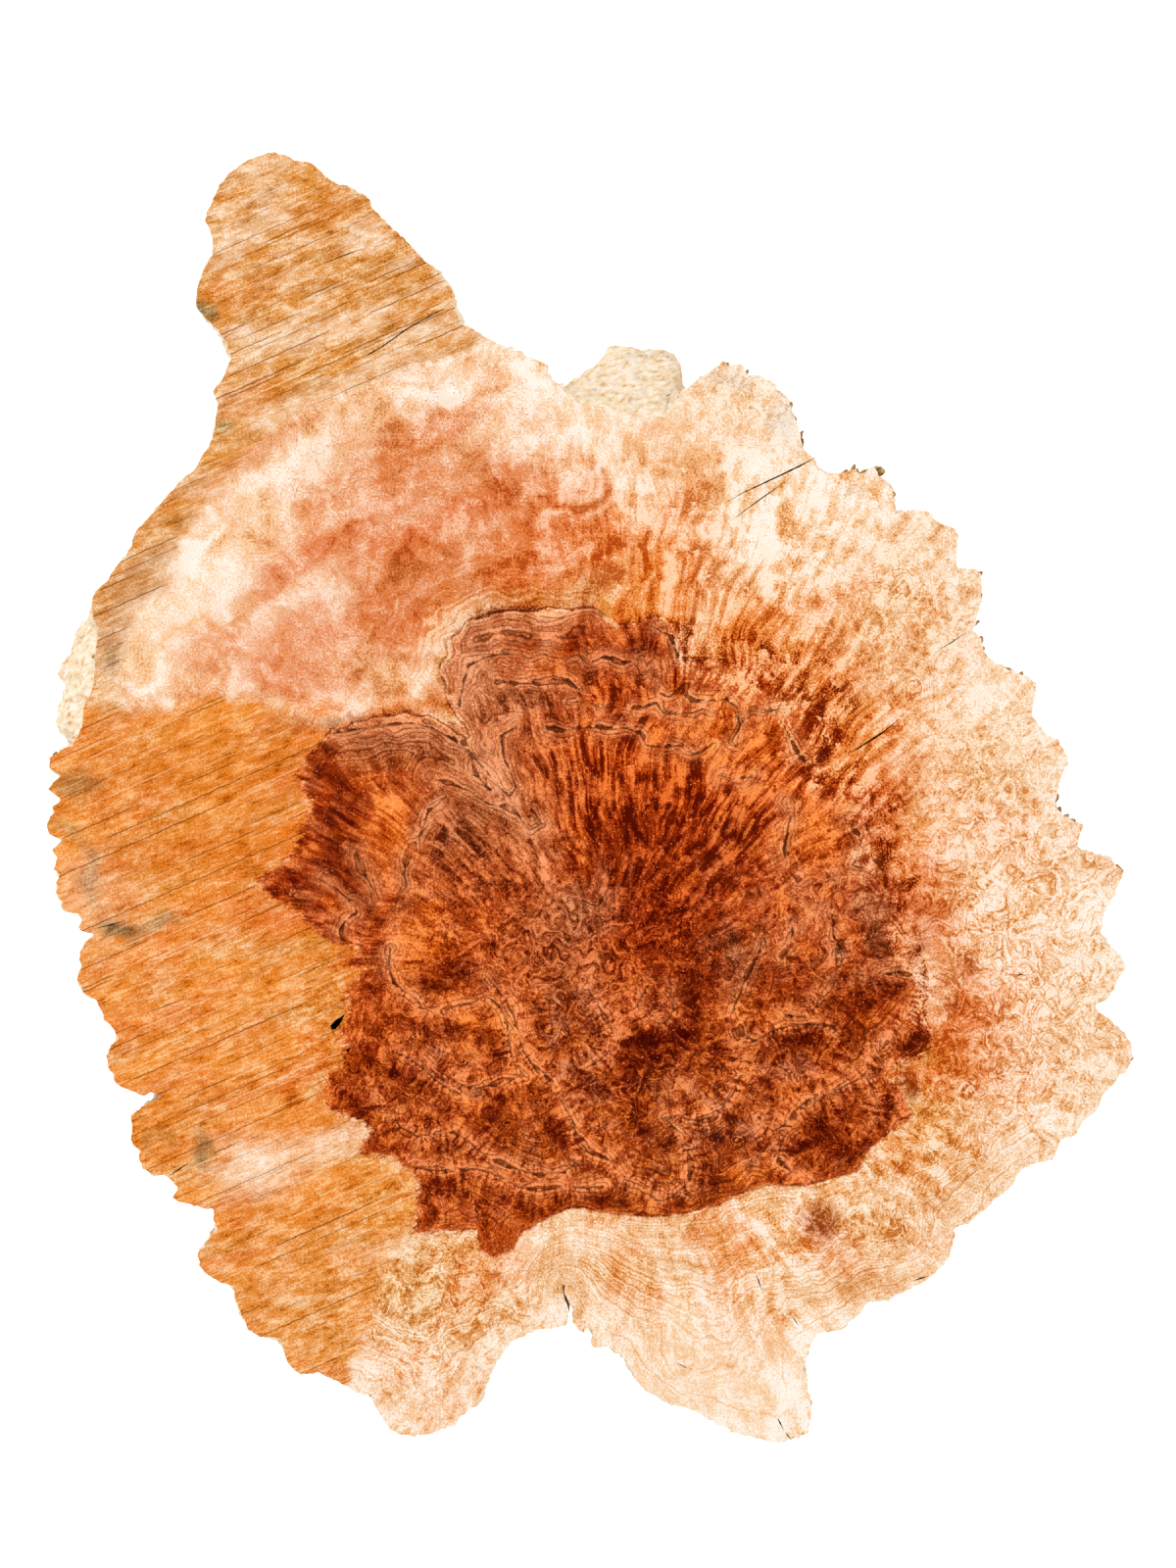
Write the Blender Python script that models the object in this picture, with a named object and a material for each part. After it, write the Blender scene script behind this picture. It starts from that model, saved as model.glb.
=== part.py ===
"""Red mallee burl blank: one slab sawn from a burl, with its live edge left on.

Metres, +Z up. The slab lies on its lower sawn face. The origin is under the middle of its box,
+X runs across the slab, +Y along it towards the horn, and the show face is at the top.
"""

import math
import random

import bmesh
import bpy
from mathutils import Matrix, Vector

MM = 0.001

# Driving dimensions
THICKNESS = 32 * MM
UNDERCUT = 3.0 * MM
UNDERCUT_CURVE = 1.5
LOBE_SMOOTHING = 6.0 * MM
LOBE_DRIFT = 9.0 * MM
LOBE_FADE = 0.35
DRIFT_ONSET = 1.6
KNOB_HEIGHT = 1.1 * MM
KNOB_ONSET = 4.0
APRON_EASE = 0.85
APRON_BLEND = 3
EDGE_SEED = 7

# Rings of the live edge, as shares of the depth under the show face
EDGE_DEPTHS = (0.0, 0.12, 0.3, 0.5, 0.7, 0.88, 1.0)

# The show face's outline, in millimetres from the middle of the slab. The stretches follow each
# other counter-clockwise. Every point is the tip of a lobe, the foot of a notch or a bend.
HORN_OUTER = (
    (-80.5, 164.7), (-85, 163.3), (-88.5, 161.8), (-92, 159), (-94.5, 156), (-96, 152.5),
    (-97.5, 149.5), (-98.2, 147), (-97, 145), (-96.2, 142), (-96, 138.5), (-98, 135.5),
    (-99.4, 132), (-100.3, 129), (-100.4, 126), (-99.8, 123.8), (-97, 121.3), (-94.5, 118.5),
    (-92.5, 115.5), (-91.3, 112), (-92.2, 109.5), (-94, 106), (-96.2, 103.5), (-95, 100.8),
)
NECK = (
    (-95.2, 98), (-96.2, 92), (-97.4, 89), (-99.5, 86), (-100.8, 83.5), (-104, 81),
    (-107.8, 76.8), (-112.4, 71.5), (-115.9, 67.6), (-117, 63.8), (-121.6, 57.7),
    (-122.8, 55.4), (-126.3, 52.5),
)
SHOULDER_STEP = (
    (-127, 50), (-126.8, 46), (-125.5, 43), (-125.6, 40), (-126.2, 36), (-126.3, 32),
    (-126.5, 29), (-127.5, 26), (-129, 23.5), (-129.2, 20), (-130, 16.5), (-132, 13),
    (-135.5, 11.5),
)
SCALLOPED_FLANK = (
    (-137.8, 10), (-138, 7.5), (-136, 6.2), (-134.8, 5.3), (-136.5, 4), (-138.2, 2),
    (-137, 1), (-134.8, -0.8), (-137.3, -2.7), (-136.5, -3.8), (-138, -5.8), (-138.5, -8),
    (-137.5, -9.8), (-134.3, -10.9), (-137.2, -13.5), (-135.8, -15.7), (-136.8, -18.5),
    (-135, -19.8), (-136.3, -22), (-135.3, -23.2), (-136.2, -24.5), (-134.5, -26.8),
    (-135, -28), (-134, -29), (-130.5, -30), (-129.5, -31.5), (-130.5, -33.3),
    (-129.5, -34.3), (-126.2, -35), (-129, -37.5), (-130, -39.5), (-130.3, -41.5),
    (-129.5, -43), (-131, -46.7), (-130, -48), (-129.3, -50), (-126, -51.8),
    (-124.5, -54.5), (-123.7, -57.2), (-122, -58.5), (-120.2, -61.8), (-122.3, -63.3),
    (-123.2, -66), (-123, -69), (-121.8, -70.5), (-121, -73), (-118.5, -74.5),
    (-114, -76.3), (-112, -75.6), (-108.8, -76.3),
)
LOWER_FLANK = (
    (-111, -77.5), (-114, -79), (-117, -81.3), (-116.7, -85.5), (-117.3, -87.5),
    (-116, -89.3), (-114.5, -90.5), (-115, -92.3), (-114, -95), (-111.5, -96.2),
    (-108, -96.8), (-105, -99.8), (-106.4, -102.2), (-104.8, -103.3), (-99.5, -104.5),
    (-95.8, -105.3), (-96, -108), (-95, -110.5), (-97.5, -113), (-98.5, -115),
    (-100, -116.3), (-99.6, -119.5), (-98, -121.7), (-94.5, -123.8), (-91, -124.8),
    (-90, -129), (-88.5, -132.7), (-87, -136.2), (-84.1, -137.8), (-79, -138.1),
    (-78.1, -141), (-77.1, -144.5), (-73.9, -147.3), (-69.1, -147), (-63.4, -149.6),
    (-57.9, -152.8), (-56, -152.1),
)
LEFT_FOOT = (
    (-54.4, -155.6), (-51.3, -160.7), (-48.7, -162.6), (-44.9, -163.2), (-41.7, -162.6),
    (-34.3, -160.4), (-33.1, -158.5), (-28.9, -154.7), (-27, -151.2), (-25.5, -147.5),
    (-23.8, -143.5), (-22, -142), (-20.5, -139.5), (-17.5, -138), (-13.5, -135.7),
    (-10, -135.8), (-6.4, -135), (-4.5, -133.8), (-2.5, -136.3), (-1.5, -136.8),
    (-1, -135.7), (0.4, -135.8), (1, -137.2), (0.3, -139.3), (1, -140.5),
)
RIGHT_FOOT = (
    (5.5, -140.5), (8.2, -142.3), (10, -145), (12, -149), (14, -151.5), (17, -153),
    (20, -154.8), (24, -155.8), (27, -156.8), (30, -158.8), (36.5, -162), (40, -163),
    (48, -165), (50.5, -164.3), (55.8, -162.3), (56.8, -157), (55.8, -152), (55.5, -148),
    (54.2, -146), (55.5, -142), (56.5, -139), (58, -137.3),
)
LOWER_RIGHT = (
    (60, -136.3), (63.5, -136), (69, -132), (70, -130), (72, -128.3), (76, -128),
    (79, -127), (85.5, -123.5), (88, -121.8), (91.5, -117.5), (92.7, -114.5),
    (93.2, -112), (93, -110.8), (94, -109.5), (97, -108.3), (102, -104.5),
    (103.5, -102.5), (106, -100.5), (109.5, -96.5), (110, -95), (112.5, -93.8),
    (118, -92.7), (118.7, -91.5), (120, -87.7), (124, -86.3), (126, -82.8), (129.5, -80),
    (130.8, -76), (133.5, -73.5), (135, -71),
)
RIGHT_TEETH = (
    (137, -70), (138.5, -66.5), (138.3, -63), (136, -60), (133, -57), (130, -55),
    (128.5, -53.5), (131, -51.8), (133.5, -49), (135, -46.5), (136.7, -42.8),
    (135.5, -40.5), (131, -36.8), (130, -35.5), (130.7, -31), (132.5, -27.5),
    (134.5, -23.5), (136.2, -19.3), (134.5, -17.5), (132.5, -16), (127.5, -14.2),
    (125, -13.8), (124.3, -12.8), (125, -10), (126, -7.2), (122, -5.5), (120.2, -4.5),
    (119, -2.8), (118.8, -1), (120, 4), (122, 9.5),
)
UPPER_RIGHT_TEETH = (
    (121.2, 11), (119.5, 14.7), (116, 16), (113.5, 19.5), (112.5, 20.8), (113.5, 25),
    (114, 29), (112, 30.5), (106.5, 32.5), (103.5, 34), (100.5, 37), (99.8, 40.5),
    (98, 41.8), (98.3, 44), (99.8, 49.5), (100, 53), (99.8, 57), (96, 58), (93.8, 58.3),
    (93.4, 62), (94, 66.5), (93.3, 68.5), (88, 70.3), (87.5, 71.8), (86, 73), (83, 73.3),
    (77.8, 72), (77.5, 77.3), (75.5, 80.5), (74, 81.5), (72.5, 84.5), (69.5, 82.3),
    (67.5, 83.5), (63, 82.3),
)
CREST = (
    (60, 82.5), (58.3, 83.8), (57, 86.7), (54.3, 88.7), (53.5, 93.5), (52, 97.5),
    (50.8, 101.3), (47.8, 103), (47.3, 105), (43, 107.8), (40.3, 107.5), (38.8, 110.5),
    (35.3, 110), (34.2, 111.3), (31.5, 109), (27, 105.7),
)
CREST_HOLLOW = (
    (24, 103), (21.5, 99.5), (19, 96.5), (16, 97.3), (13, 97.6), (10, 97.8), (6, 98.6),
    (3, 99.5), (0, 100.3), (-3, 100.5), (-5, 102), (-7, 104), (-9.5, 105.8),
)
HORN_INNER = (
    (-10.5, 108), (-11.3, 110.5), (-16.7, 112.9), (-25.1, 116.4), (-30, 119.5),
    (-32.8, 120.6), (-33.9, 123), (-34.9, 128.7), (-36.7, 131.5), (-38.4, 133.9),
    (-43.3, 137.8), (-46.1, 141.3), (-51.4, 146.2), (-55.6, 150.4), (-56.3, 152.5),
    (-57.7, 153.8), (-60.2, 153.9), (-61.6, 155.9), (-64.4, 156.4), (-67.2, 158.1),
    (-70, 160.9), (-71.4, 161.8), (-75.6, 162.5), (-79, 163.8),
)

# Where the burl's outer skin slopes out below the show face, its foot on the lower face
SHOULDER_APRON = (
    (-130, 51), (-131.5, 48.5), (-134, 46.3), (-135.5, 43.5), (-135, 41.5), (-136.3, 39),
    (-136, 37), (-139.4, 34.3), (-138.5, 32.5), (-140, 30.8), (-138.5, 29), (-138, 26.5),
    (-138.6, 24.3), (-141.5, 21), (-140.5, 18.2), (-140, 16), (-138, 14.8), (-138.5, 12.3),
)
CREST_APRON = (
    (26.5, 109), (26, 112.5), (24, 114.2), (23.2, 116), (20, 116.8), (17, 117.4),
    (13, 117.6), (8.5, 118.7), (5.5, 118.2), (3.5, 115.7), (1.5, 112.6), (-1, 112.3),
    (-2.5, 110.3), (-6, 109.5), (-9, 108.6),
)

# Voids in the show face: outline in millimetres, and depth
BARK_POCKET = ((-66.4, -58.4), (-65.9, -59.6), (-64.8, -59.6), (-63.6, -57.9), (-62.2, -55.2), (-65, -57))
BARK_POCKET_DEPTH = 15 * MM
SMALL_POCKET = ((-62.4, -64.8), (-61.6, -65.3), (-60.7, -64), (-61.6, -64.1))
SMALL_POCKET_DEPTH = 7 * MM

# The drying crack that opens in the notch between the feet, as (x, y, width) in millimetres
DRYING_CRACK = ((-5.2, -135.5, 1.6), (-4.7, -131.6, 1.1), (-5.4, -129.6, 0.8), (-6.6, -127, 0.5), (-6.7, -124.6, 0.2))
CRACK_TAPER = 0.6

CUTTER_OVERRUN = 3 * MM

STRETCHES = (
    HORN_OUTER, NECK, SHOULDER_STEP, SCALLOPED_FLANK, LOWER_FLANK, LEFT_FOOT, RIGHT_FOOT,
    LOWER_RIGHT, RIGHT_TEETH, UPPER_RIGHT_TEETH, CREST, CREST_HOLLOW, HORN_INNER,
)
APRONS = ((SHOULDER_STEP, SHOULDER_APRON), (CREST_HOLLOW, CREST_APRON))


def to_vectors(points_mm):
    return [Vector((x * MM, y * MM)) for x, y in points_mm]


def show_face_outline():
    return [p for stretch in STRETCHES for p in to_vectors(stretch)]


def distances_along(loop):
    """Distance of each point from the first one, along the closed loop, and the loop's length."""
    travelled = [0.0]
    for here, after in zip(loop, loop[1:] + loop[:1]):
        travelled.append(travelled[-1] + (after - here).length)
    return travelled[:-1], travelled[-1]


def smoothed(loop, travelled, length):
    """The loop without its lobes: each point averaged with its neighbours along the edge."""
    spans = [(travelled[(i + 1) % len(loop)] - travelled[i - 1]) % length for i in range(len(loop))]
    calm = []
    for here in travelled:
        total, weight = Vector((0, 0)), 0.0
        for point, there, span in zip(loop, travelled, spans):
            gap = abs(here - there)
            gap = min(gap, length - gap)
            share = span * math.exp(-0.5 * (gap / LOBE_SMOOTHING) ** 2)
            total += point * share
            weight += share
        calm.append(total / weight)
    return calm


def outward_normals(loop):
    normals = []
    for before, after in zip(loop[-1:] + loop[:-1], loop[1:] + loop[:1]):
        along = (after - before).normalized()
        normals.append(Vector((along.y, -along.x)))
    return normals


def value_along(where, travelled, length, values):
    """Value at a distance along the loop, between those of the two points on either side."""
    where %= length
    after = next((i for i, t in enumerate(travelled) if t > where), len(travelled))
    start = travelled[after - 1]
    end = travelled[after] if after < len(travelled) else length
    share = (where - start) / (end - start)
    return values[after - 1] * (1 - share) + values[after % len(values)] * share


def spread_evenly(points, count):
    """That many points, at even steps along the open line through points."""
    steps = [(b - a).length for a, b in zip(points, points[1:])]
    picked = []
    for i in range(count):
        left = sum(steps) * i / (count - 1)
        for a, b, step in zip(points, points[1:], steps):
            if left <= step + 1e-9:
                picked.append(a.lerp(b, left / step))
                break
            left -= step
    return picked


def apron_feet():
    """For each outline point with an apron under it: its foot on the lower face, and the
    apron's share in it, which falls off over the last points at both ends."""
    feet = {}
    for stretch, apron in APRONS:
        first = sum(len(s) for s in STRETCHES[:STRETCHES.index(stretch)])
        count = len(stretch)
        for i, foot in enumerate(spread_evenly(to_vectors(apron), count)):
            share = min(1.0, (i + 1) / APRON_BLEND, (count - i) / APRON_BLEND)
            feet[first + i] = (foot, share)
    return feet


def edge_rings():
    """The live edge's rings from the show face down, each a closed loop of (x, y)."""
    draw = random.Random(EDGE_SEED)
    outline = show_face_outline()
    travelled, length = distances_along(outline)
    calm = smoothed(outline, travelled, length)
    normals = outward_normals(calm)
    relief = [(p - c).dot(n) for p, c, n in zip(outline, calm, normals)]
    feet = apron_feet()
    rings = []
    for depth in EDGE_DEPTHS:
        ring = []
        for i, point in enumerate(outline):
            knob = normals[i] * draw.uniform(-1, 1) * KNOB_HEIGHT * min(1.0, depth * KNOB_ONSET)
            drifted = value_along(travelled[i] + LOBE_DRIFT * depth, travelled, length, relief)
            height = drifted * (1 - LOBE_FADE * depth) - UNDERCUT * depth ** UNDERCUT_CURVE
            lower = point.lerp(calm[i] + normals[i] * height, min(1.0, depth * DRIFT_ONSET))
            if i in feet:
                foot, share = feet[i]
                lower = lower.lerp(point.lerp(foot, depth ** APRON_EASE), share)
            ring.append(lower + knob)
        rings.append(ring)
    return rings


def new_object(name, mesh_builder):
    mesh = bpy.data.meshes.new(name)
    mesh_builder.to_mesh(mesh)
    mesh_builder.free()
    made = bpy.data.objects.new(name, mesh)
    bpy.context.scene.collection.objects.link(made)
    return made


def bridge(bm, upper, lower):
    """Faces between two rings of equal count, facing away from their middle."""
    count = len(upper)
    for i in range(count):
        j = (i + 1) % count
        bm.faces.new((upper[i], lower[i], lower[j]))
        bm.faces.new((upper[i], lower[j], upper[j]))


def make_slab():
    bm = bmesh.new()
    rings = [
        [bm.verts.new((p.x, p.y, THICKNESS * (1 - depth))) for p in ring]
        for ring, depth in zip(edge_rings(), EDGE_DEPTHS)
    ]
    for upper, lower in zip(rings, rings[1:]):
        bridge(bm, upper, lower)
    bm.faces.new(rings[0])
    bm.faces.new(reversed(rings[-1]))
    bmesh.ops.recalc_face_normals(bm, faces=bm.faces)
    return new_object("burl_slab", bm)


def make_cutter(name, top, bottom, top_z, bottom_z):
    """A closed prism between two outlines of equal count, for a Boolean to take away."""
    bm = bmesh.new()
    upper = [bm.verts.new((p.x, p.y, top_z)) for p in top]
    lower = [bm.verts.new((p.x, p.y, bottom_z)) for p in bottom]
    bridge(bm, upper, lower)
    bm.faces.new(upper)
    bm.faces.new(reversed(lower))
    bmesh.ops.recalc_face_normals(bm, faces=bm.faces)
    cutter = new_object(name, bm)
    cutter.hide_render = True
    cutter.display_type = "WIRE"
    return cutter


def make_pocket_cutter(name, outline_mm, depth):
    """A pocket that narrows to half its size at its floor."""
    mouth = to_vectors(outline_mm)
    middle = sum(mouth, Vector((0, 0))) / len(mouth)
    floor = [middle.lerp(p, 0.5) for p in mouth]
    return make_cutter(name, mouth, floor, THICKNESS + CUTTER_OVERRUN, THICKNESS - depth)


def make_crack_cutter():
    """A wedge along the crack's line, through the whole thickness and narrower below."""
    line = [Vector((x * MM, y * MM)) for x, y, width in DRYING_CRACK]
    left, right = [], []
    for i, (x, y, width) in enumerate(DRYING_CRACK):
        along = (line[min(i + 1, len(line) - 1)] - line[max(i - 1, 0)]).normalized()
        across = Vector((-along.y, along.x)) * width * MM / 2
        left.append(across)
        right.append(-across)
    top = [p + a for p, a in zip(line, left)] + [p + a for p, a in zip(line[::-1], right[::-1])]
    base = [p + a * CRACK_TAPER for p, a in zip(line, left)]
    base += [p + a * CRACK_TAPER for p, a in zip(line[::-1], right[::-1])]
    return make_cutter("drying_crack_cutter", top, base, THICKNESS + CUTTER_OVERRUN, -CUTTER_OVERRUN)


def cut(target, cutter):
    taken = target.modifiers.new(cutter.name, "BOOLEAN")
    taken.operation = "DIFFERENCE"
    taken.solver = "EXACT"
    taken.object = cutter


def wood_finish():
    wood = bpy.data.materials.new("sawn_burl")
    wood.use_nodes = True
    surface = wood.node_tree.nodes["Principled BSDF"]
    surface.inputs["Base Color"].default_value = (0.62, 0.27, 0.10, 1)
    surface.inputs["Roughness"].default_value = 0.55
    surface.inputs["Metallic"].default_value = 0.0
    return wood


def centre_on_origin(made):
    """Moves the shapes so that the origin is under the middle of the first one's box."""
    corners = [v.co for v in made[0].data.vertices]
    middle_x = (min(c.x for c in corners) + max(c.x for c in corners)) / 2
    middle_y = (min(c.y for c in corners) + max(c.y for c in corners)) / 2
    for shape in made:
        shape.data.transform(Matrix.Translation((-middle_x, -middle_y, 0)))


def main():
    for old in list(bpy.data.objects):
        bpy.data.objects.remove(old)
    slab = make_slab()
    slab.data.materials.append(wood_finish())
    cutters = [
        make_pocket_cutter("bark_pocket_cutter", BARK_POCKET, BARK_POCKET_DEPTH),
        make_pocket_cutter("small_pocket_cutter", SMALL_POCKET, SMALL_POCKET_DEPTH),
        make_crack_cutter(),
    ]
    centre_on_origin([slab, *cutters])
    for cutter in cutters:
        cut(slab, cutter)


main()
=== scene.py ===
import math

import bmesh
import bpy
import numpy as np
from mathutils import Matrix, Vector
from mathutils.geometry import delaunay_2d_cdt
from mathutils.kdtree import KDTree


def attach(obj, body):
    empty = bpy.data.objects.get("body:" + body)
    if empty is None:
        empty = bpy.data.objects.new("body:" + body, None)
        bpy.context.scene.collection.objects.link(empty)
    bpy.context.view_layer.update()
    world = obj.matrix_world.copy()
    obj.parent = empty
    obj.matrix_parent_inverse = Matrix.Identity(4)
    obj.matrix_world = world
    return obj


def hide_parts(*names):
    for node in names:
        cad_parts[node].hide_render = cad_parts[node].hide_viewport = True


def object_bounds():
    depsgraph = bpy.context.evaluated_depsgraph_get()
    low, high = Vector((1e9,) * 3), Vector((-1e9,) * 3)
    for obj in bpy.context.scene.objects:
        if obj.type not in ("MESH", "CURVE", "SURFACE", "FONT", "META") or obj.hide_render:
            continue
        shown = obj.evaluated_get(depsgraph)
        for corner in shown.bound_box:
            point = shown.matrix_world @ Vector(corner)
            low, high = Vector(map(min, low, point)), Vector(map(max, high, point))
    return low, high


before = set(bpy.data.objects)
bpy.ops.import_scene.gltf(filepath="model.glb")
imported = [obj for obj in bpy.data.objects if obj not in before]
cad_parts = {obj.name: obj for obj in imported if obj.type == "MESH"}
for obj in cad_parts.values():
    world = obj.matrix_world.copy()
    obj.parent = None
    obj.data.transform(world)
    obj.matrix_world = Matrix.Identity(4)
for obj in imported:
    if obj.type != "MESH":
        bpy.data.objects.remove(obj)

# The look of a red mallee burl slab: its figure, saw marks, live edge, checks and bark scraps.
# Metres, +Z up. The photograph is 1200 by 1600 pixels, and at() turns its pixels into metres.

MM = 0.001

cad_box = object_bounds()
SHOW_Z = cad_box[1][2]

# One photograph pixel on the show face, and the pixel over the slab's origin
PIXEL = 0.25 * MM
ORIGIN_PX = (597.92, 813.84)
PHOTO_SIZE = (1200, 1600)

# Mesh fineness
RING_STEP = 0.72 * MM
FIGURED_STEP = 0.88 * MM
CALM_STEP = 1.5 * MM
UNDER_STEP = 2.4 * MM
CHECK_STEP = 0.7 * MM
RELAX_ROUNDS = 2
WALL_DEPTHS = (0.0, 0.02, 0.06, 0.12, 0.19, 0.27, 0.36, 0.45, 0.54, 0.63, 0.72, 0.81, 0.9, 0.97, 1.0)
# Height between the rows of a hexagonal grid, how far its points are shaken, in steps, and how near
# they may come to a loop, in the loop's own steps
HEX_ROW = 0.866
HEX_SHAKE = 0.12
RIM_CLEARANCE = 0.75
# Points this near to a level lie on it, and a face this flat belongs to the show face
LEVEL_GAP = 0.01 * MM
MERGE_GAP = 0.001 * MM
FLAT_NORMAL = 0.99
SHARP_ANGLE = 50
# Material slots of the slab's mesh
SAWN, LIVE_EDGE, OPENING = range(3)
# The fine points reach this far past the heart, and cover wood this strongly curled or eyed
FIGURED_MARGIN = 1.5 * MM
LIVELY = 0.55

# The live edge's relief, each as its size and its wavelength, and the most it may stand out
FLUTES = (0.9 * MM, 9 * MM)
KNOBS = (0.55 * MM, 5 * MM)
EDGE_GRIT = (0.3 * MM, 1.9 * MM)
RIM_GRIT = (0.22 * MM, 2.2 * MM)
MOST_RELIEF = 0.9 * MM
# How fast the relief sets in below the show face
RELIEF_ONSET = 9
# The mouth of the drying crack, around which the edge stays as the node has it
CRACK_MOUTH = (582, 1350)

# The pixels from which the growth lines and the heart's long streaks spread
FAN_CENTRE = (608, 962)
STREAK_CENTRE = (625, 1010)

# Colours, as they look in the studio light: pale wood, its ground, and the flecks in it

PALETTES = {
    "fan": ("F0904A", "B4480C", "6E1C02"),
    "dark fan": ("DC6C2C", "8E3006", "561002"),
    "veil": ("E4925F", "AC5A2E", "561E08"),
    "pale veil": ("F2B088", "C87C4E", "7A3A18"),
    "red heart": ("F08A48", "A6400E", "721E04"),
    "dark heart": ("C2602A", "7E2A0A", "4E0A02"),
    "pink heart": ("F8A674", "CC6A36", "86320E"),
    "orange heart": ("FEA658", "D06414", "8A3406"),
    "brown bands": ("D88C5C", "96481E", "5A2810"),
    "left sawn": ("FDC282", "EC9034", "BC5E08"),
    "deep sawn": ("F6AE68", "D67618", "9E4C02"),
    "horn": ("FAD8B0", "DE9440", "A8560C"),
    "horn smear": ("EAB06C", "BE741E", "824004"),
    "brown skin": ("E2A66A", "B06C28", "6A3A10"),
    "peach": ("FDE8D2", "F0AC76", "CA6E30"),
    "pink brown": ("F8C49E", "DC7E40", "AA4C1A"),
    "rosy": ("F9BA94", "DE7238", "B44614"),
    "cream": ("FFF4E8", "F8D2A8", "E49C54"),
    "sap": ("FEEEDC", "F2B676", "CA6A14"),
    "orange sap": ("FDCB9C", "EC8630", "BA4604"),
    "ochre sap": ("FBD8A6", "DC9238", "A65A0C"),
    "olive bands": ("F8D2A4", "CC8440", "8C4E1C"),
    "plum": ("DA9A78", "985632", "582C16"),
    "grey weathered": ("E4D6C4", "B8A690", "6E6254"),
    "green stain": ("A8A884", "6E7858", "3C4834"),
    "dark stain": ("B08A58", "6A5638", "342C20"),
}

# The studio light on the show face, against which the colours above are seen
LIT = 1.37

# The spacing of the rings at which the streaks start afresh
FEATHER_STEP = 9.5 * MM
# How closely the flecks stand round the streaks' centre, and how long they are, near it and far out
NEAR_FLECKS = (21.0, 8 * MM)
FAR_FLECKS = (46.0, 13 * MM)
# The spacing of the small eyes and, in millimetres of growth, of the rings and the contours
PIP_SPACING = 3.2 * MM
RING_WIDTH = 0.9
CONTOUR_STEP = 0.6
# Degrees in which the grain and the saw's lines run on the left and on the horn
GRAIN_HEADING = 22
SAW_HEADING = 24
# The growth from the heart to the edge, and how far a lobe's flames reach from its growth line
SAP_GROWTH = 46 * MM
FLAME_REACH = 7 * MM
# How far the underside looks sawn, 1 being as on the left
UNDERSIDE_SAWN = 0.7

# Outlines of the figure's regions, in photograph pixels
HEART = (
    (262, 897), (280, 916), (301, 930), (328, 955), (340, 962), (367, 967), (352, 986), (379, 988),
    (358, 1003), (350, 1018), (355, 1035), (347, 1060), (352, 1081), (328, 1111), (335, 1131),
    (369, 1144), (380, 1152), (367, 1176), (402, 1181), (429, 1200), (423, 1257), (487, 1255),
    (490, 1275), (503, 1283), (523, 1275), (533, 1257), (559, 1242), (584, 1232), (622, 1237),
    (661, 1242), (699, 1239), (724, 1232), (750, 1221), (780, 1209), (824, 1210), (849, 1203),
    (873, 1197), (888, 1172), (909, 1155), (931, 1136), (921, 1115), (903, 1100), (912, 1085),
    (935, 1080), (948, 1060), (938, 1035), (944, 1005), (930, 986), (908, 970), (914, 940), (918, 910),
    (900, 890), (885, 860), (888, 815), (872, 800), (840, 800), (834, 775), (842, 745), (825, 712),
    (780, 685), (727, 675), (698, 673), (690, 640), (668, 628), (645, 637), (627, 640), (612, 624),
    (600, 617), (575, 622), (540, 624), (505, 622), (480, 632), (462, 650), (452, 680), (455, 705),
    (466, 728), (478, 752), (462, 742), (440, 731), (415, 728), (379, 733), (358, 739), (340, 745),
    (316, 769), (304, 790), (313, 811), (318, 825), (310, 844), (298, 868), (286, 886),
)
PEACH = (
    (315, 412), (260, 455), (240, 480), (215, 510), (185, 555), (165, 600), (140, 630), (125, 660),
    (120, 695), (125, 720), (140, 727), (170, 720), (215, 712), (260, 715), (300, 735), (335, 752),
    (360, 745), (415, 735), (460, 748), (478, 770), (470, 700), (470, 650), (505, 630), (600, 625),
    (625, 600), (640, 540), (610, 470), (560, 410), (515, 372), (470, 362), (420, 373), (380, 392),
)
HORN = (
    (150, 100), (420, 100), (520, 330), (495, 348), (470, 362), (420, 373), (380, 392), (315, 412),
    (260, 455), (240, 480), (215, 510), (185, 555), (165, 600), (140, 630), (125, 660), (120, 695),
    (125, 722), (95, 740), (20, 740), (20, 600),
)
LEFT_FLANK = (
    (20, 720), (125, 722), (140, 727), (170, 720), (215, 712), (260, 715), (300, 735), (335, 748),
    (316, 769), (304, 790), (330, 900), (350, 960), (370, 975), (360, 1040), (350, 1081), (328, 1111),
    (337, 1131), (375, 1152), (372, 1176), (402, 1185), (429, 1205), (425, 1250), (400, 1285),
    (385, 1320), (380, 1350), (360, 1395), (345, 1440), (20, 1440),
)

# Each region: outline, palette, width of its soft border in millimetres, and how ragged it is
REGIONS = (
    (PEACH, "peach", 3.0, 1.2),
    (HORN, "horn", 1.2, 0.8),
    (LEFT_FLANK, "left sawn", 3.0, 2.0),
    (HEART, "red heart", 0.9, 0.9),
)

# How much lighter or darker the wood is where these palettes lie
SHADES = {
    "dark heart": -1.0, "plum": -0.3, "dark fan": -0.4, "fan": 0.15, "orange heart": 0.8,
    "pink heart": 0.6, "brown bands": -0.2, "cream": 0.5, "orange sap": -0.35, "ochre sap": -0.35,
    "rosy": -0.3, "pink brown": -0.3, "deep sawn": -0.5, "pale veil": 0.7,
}

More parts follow.
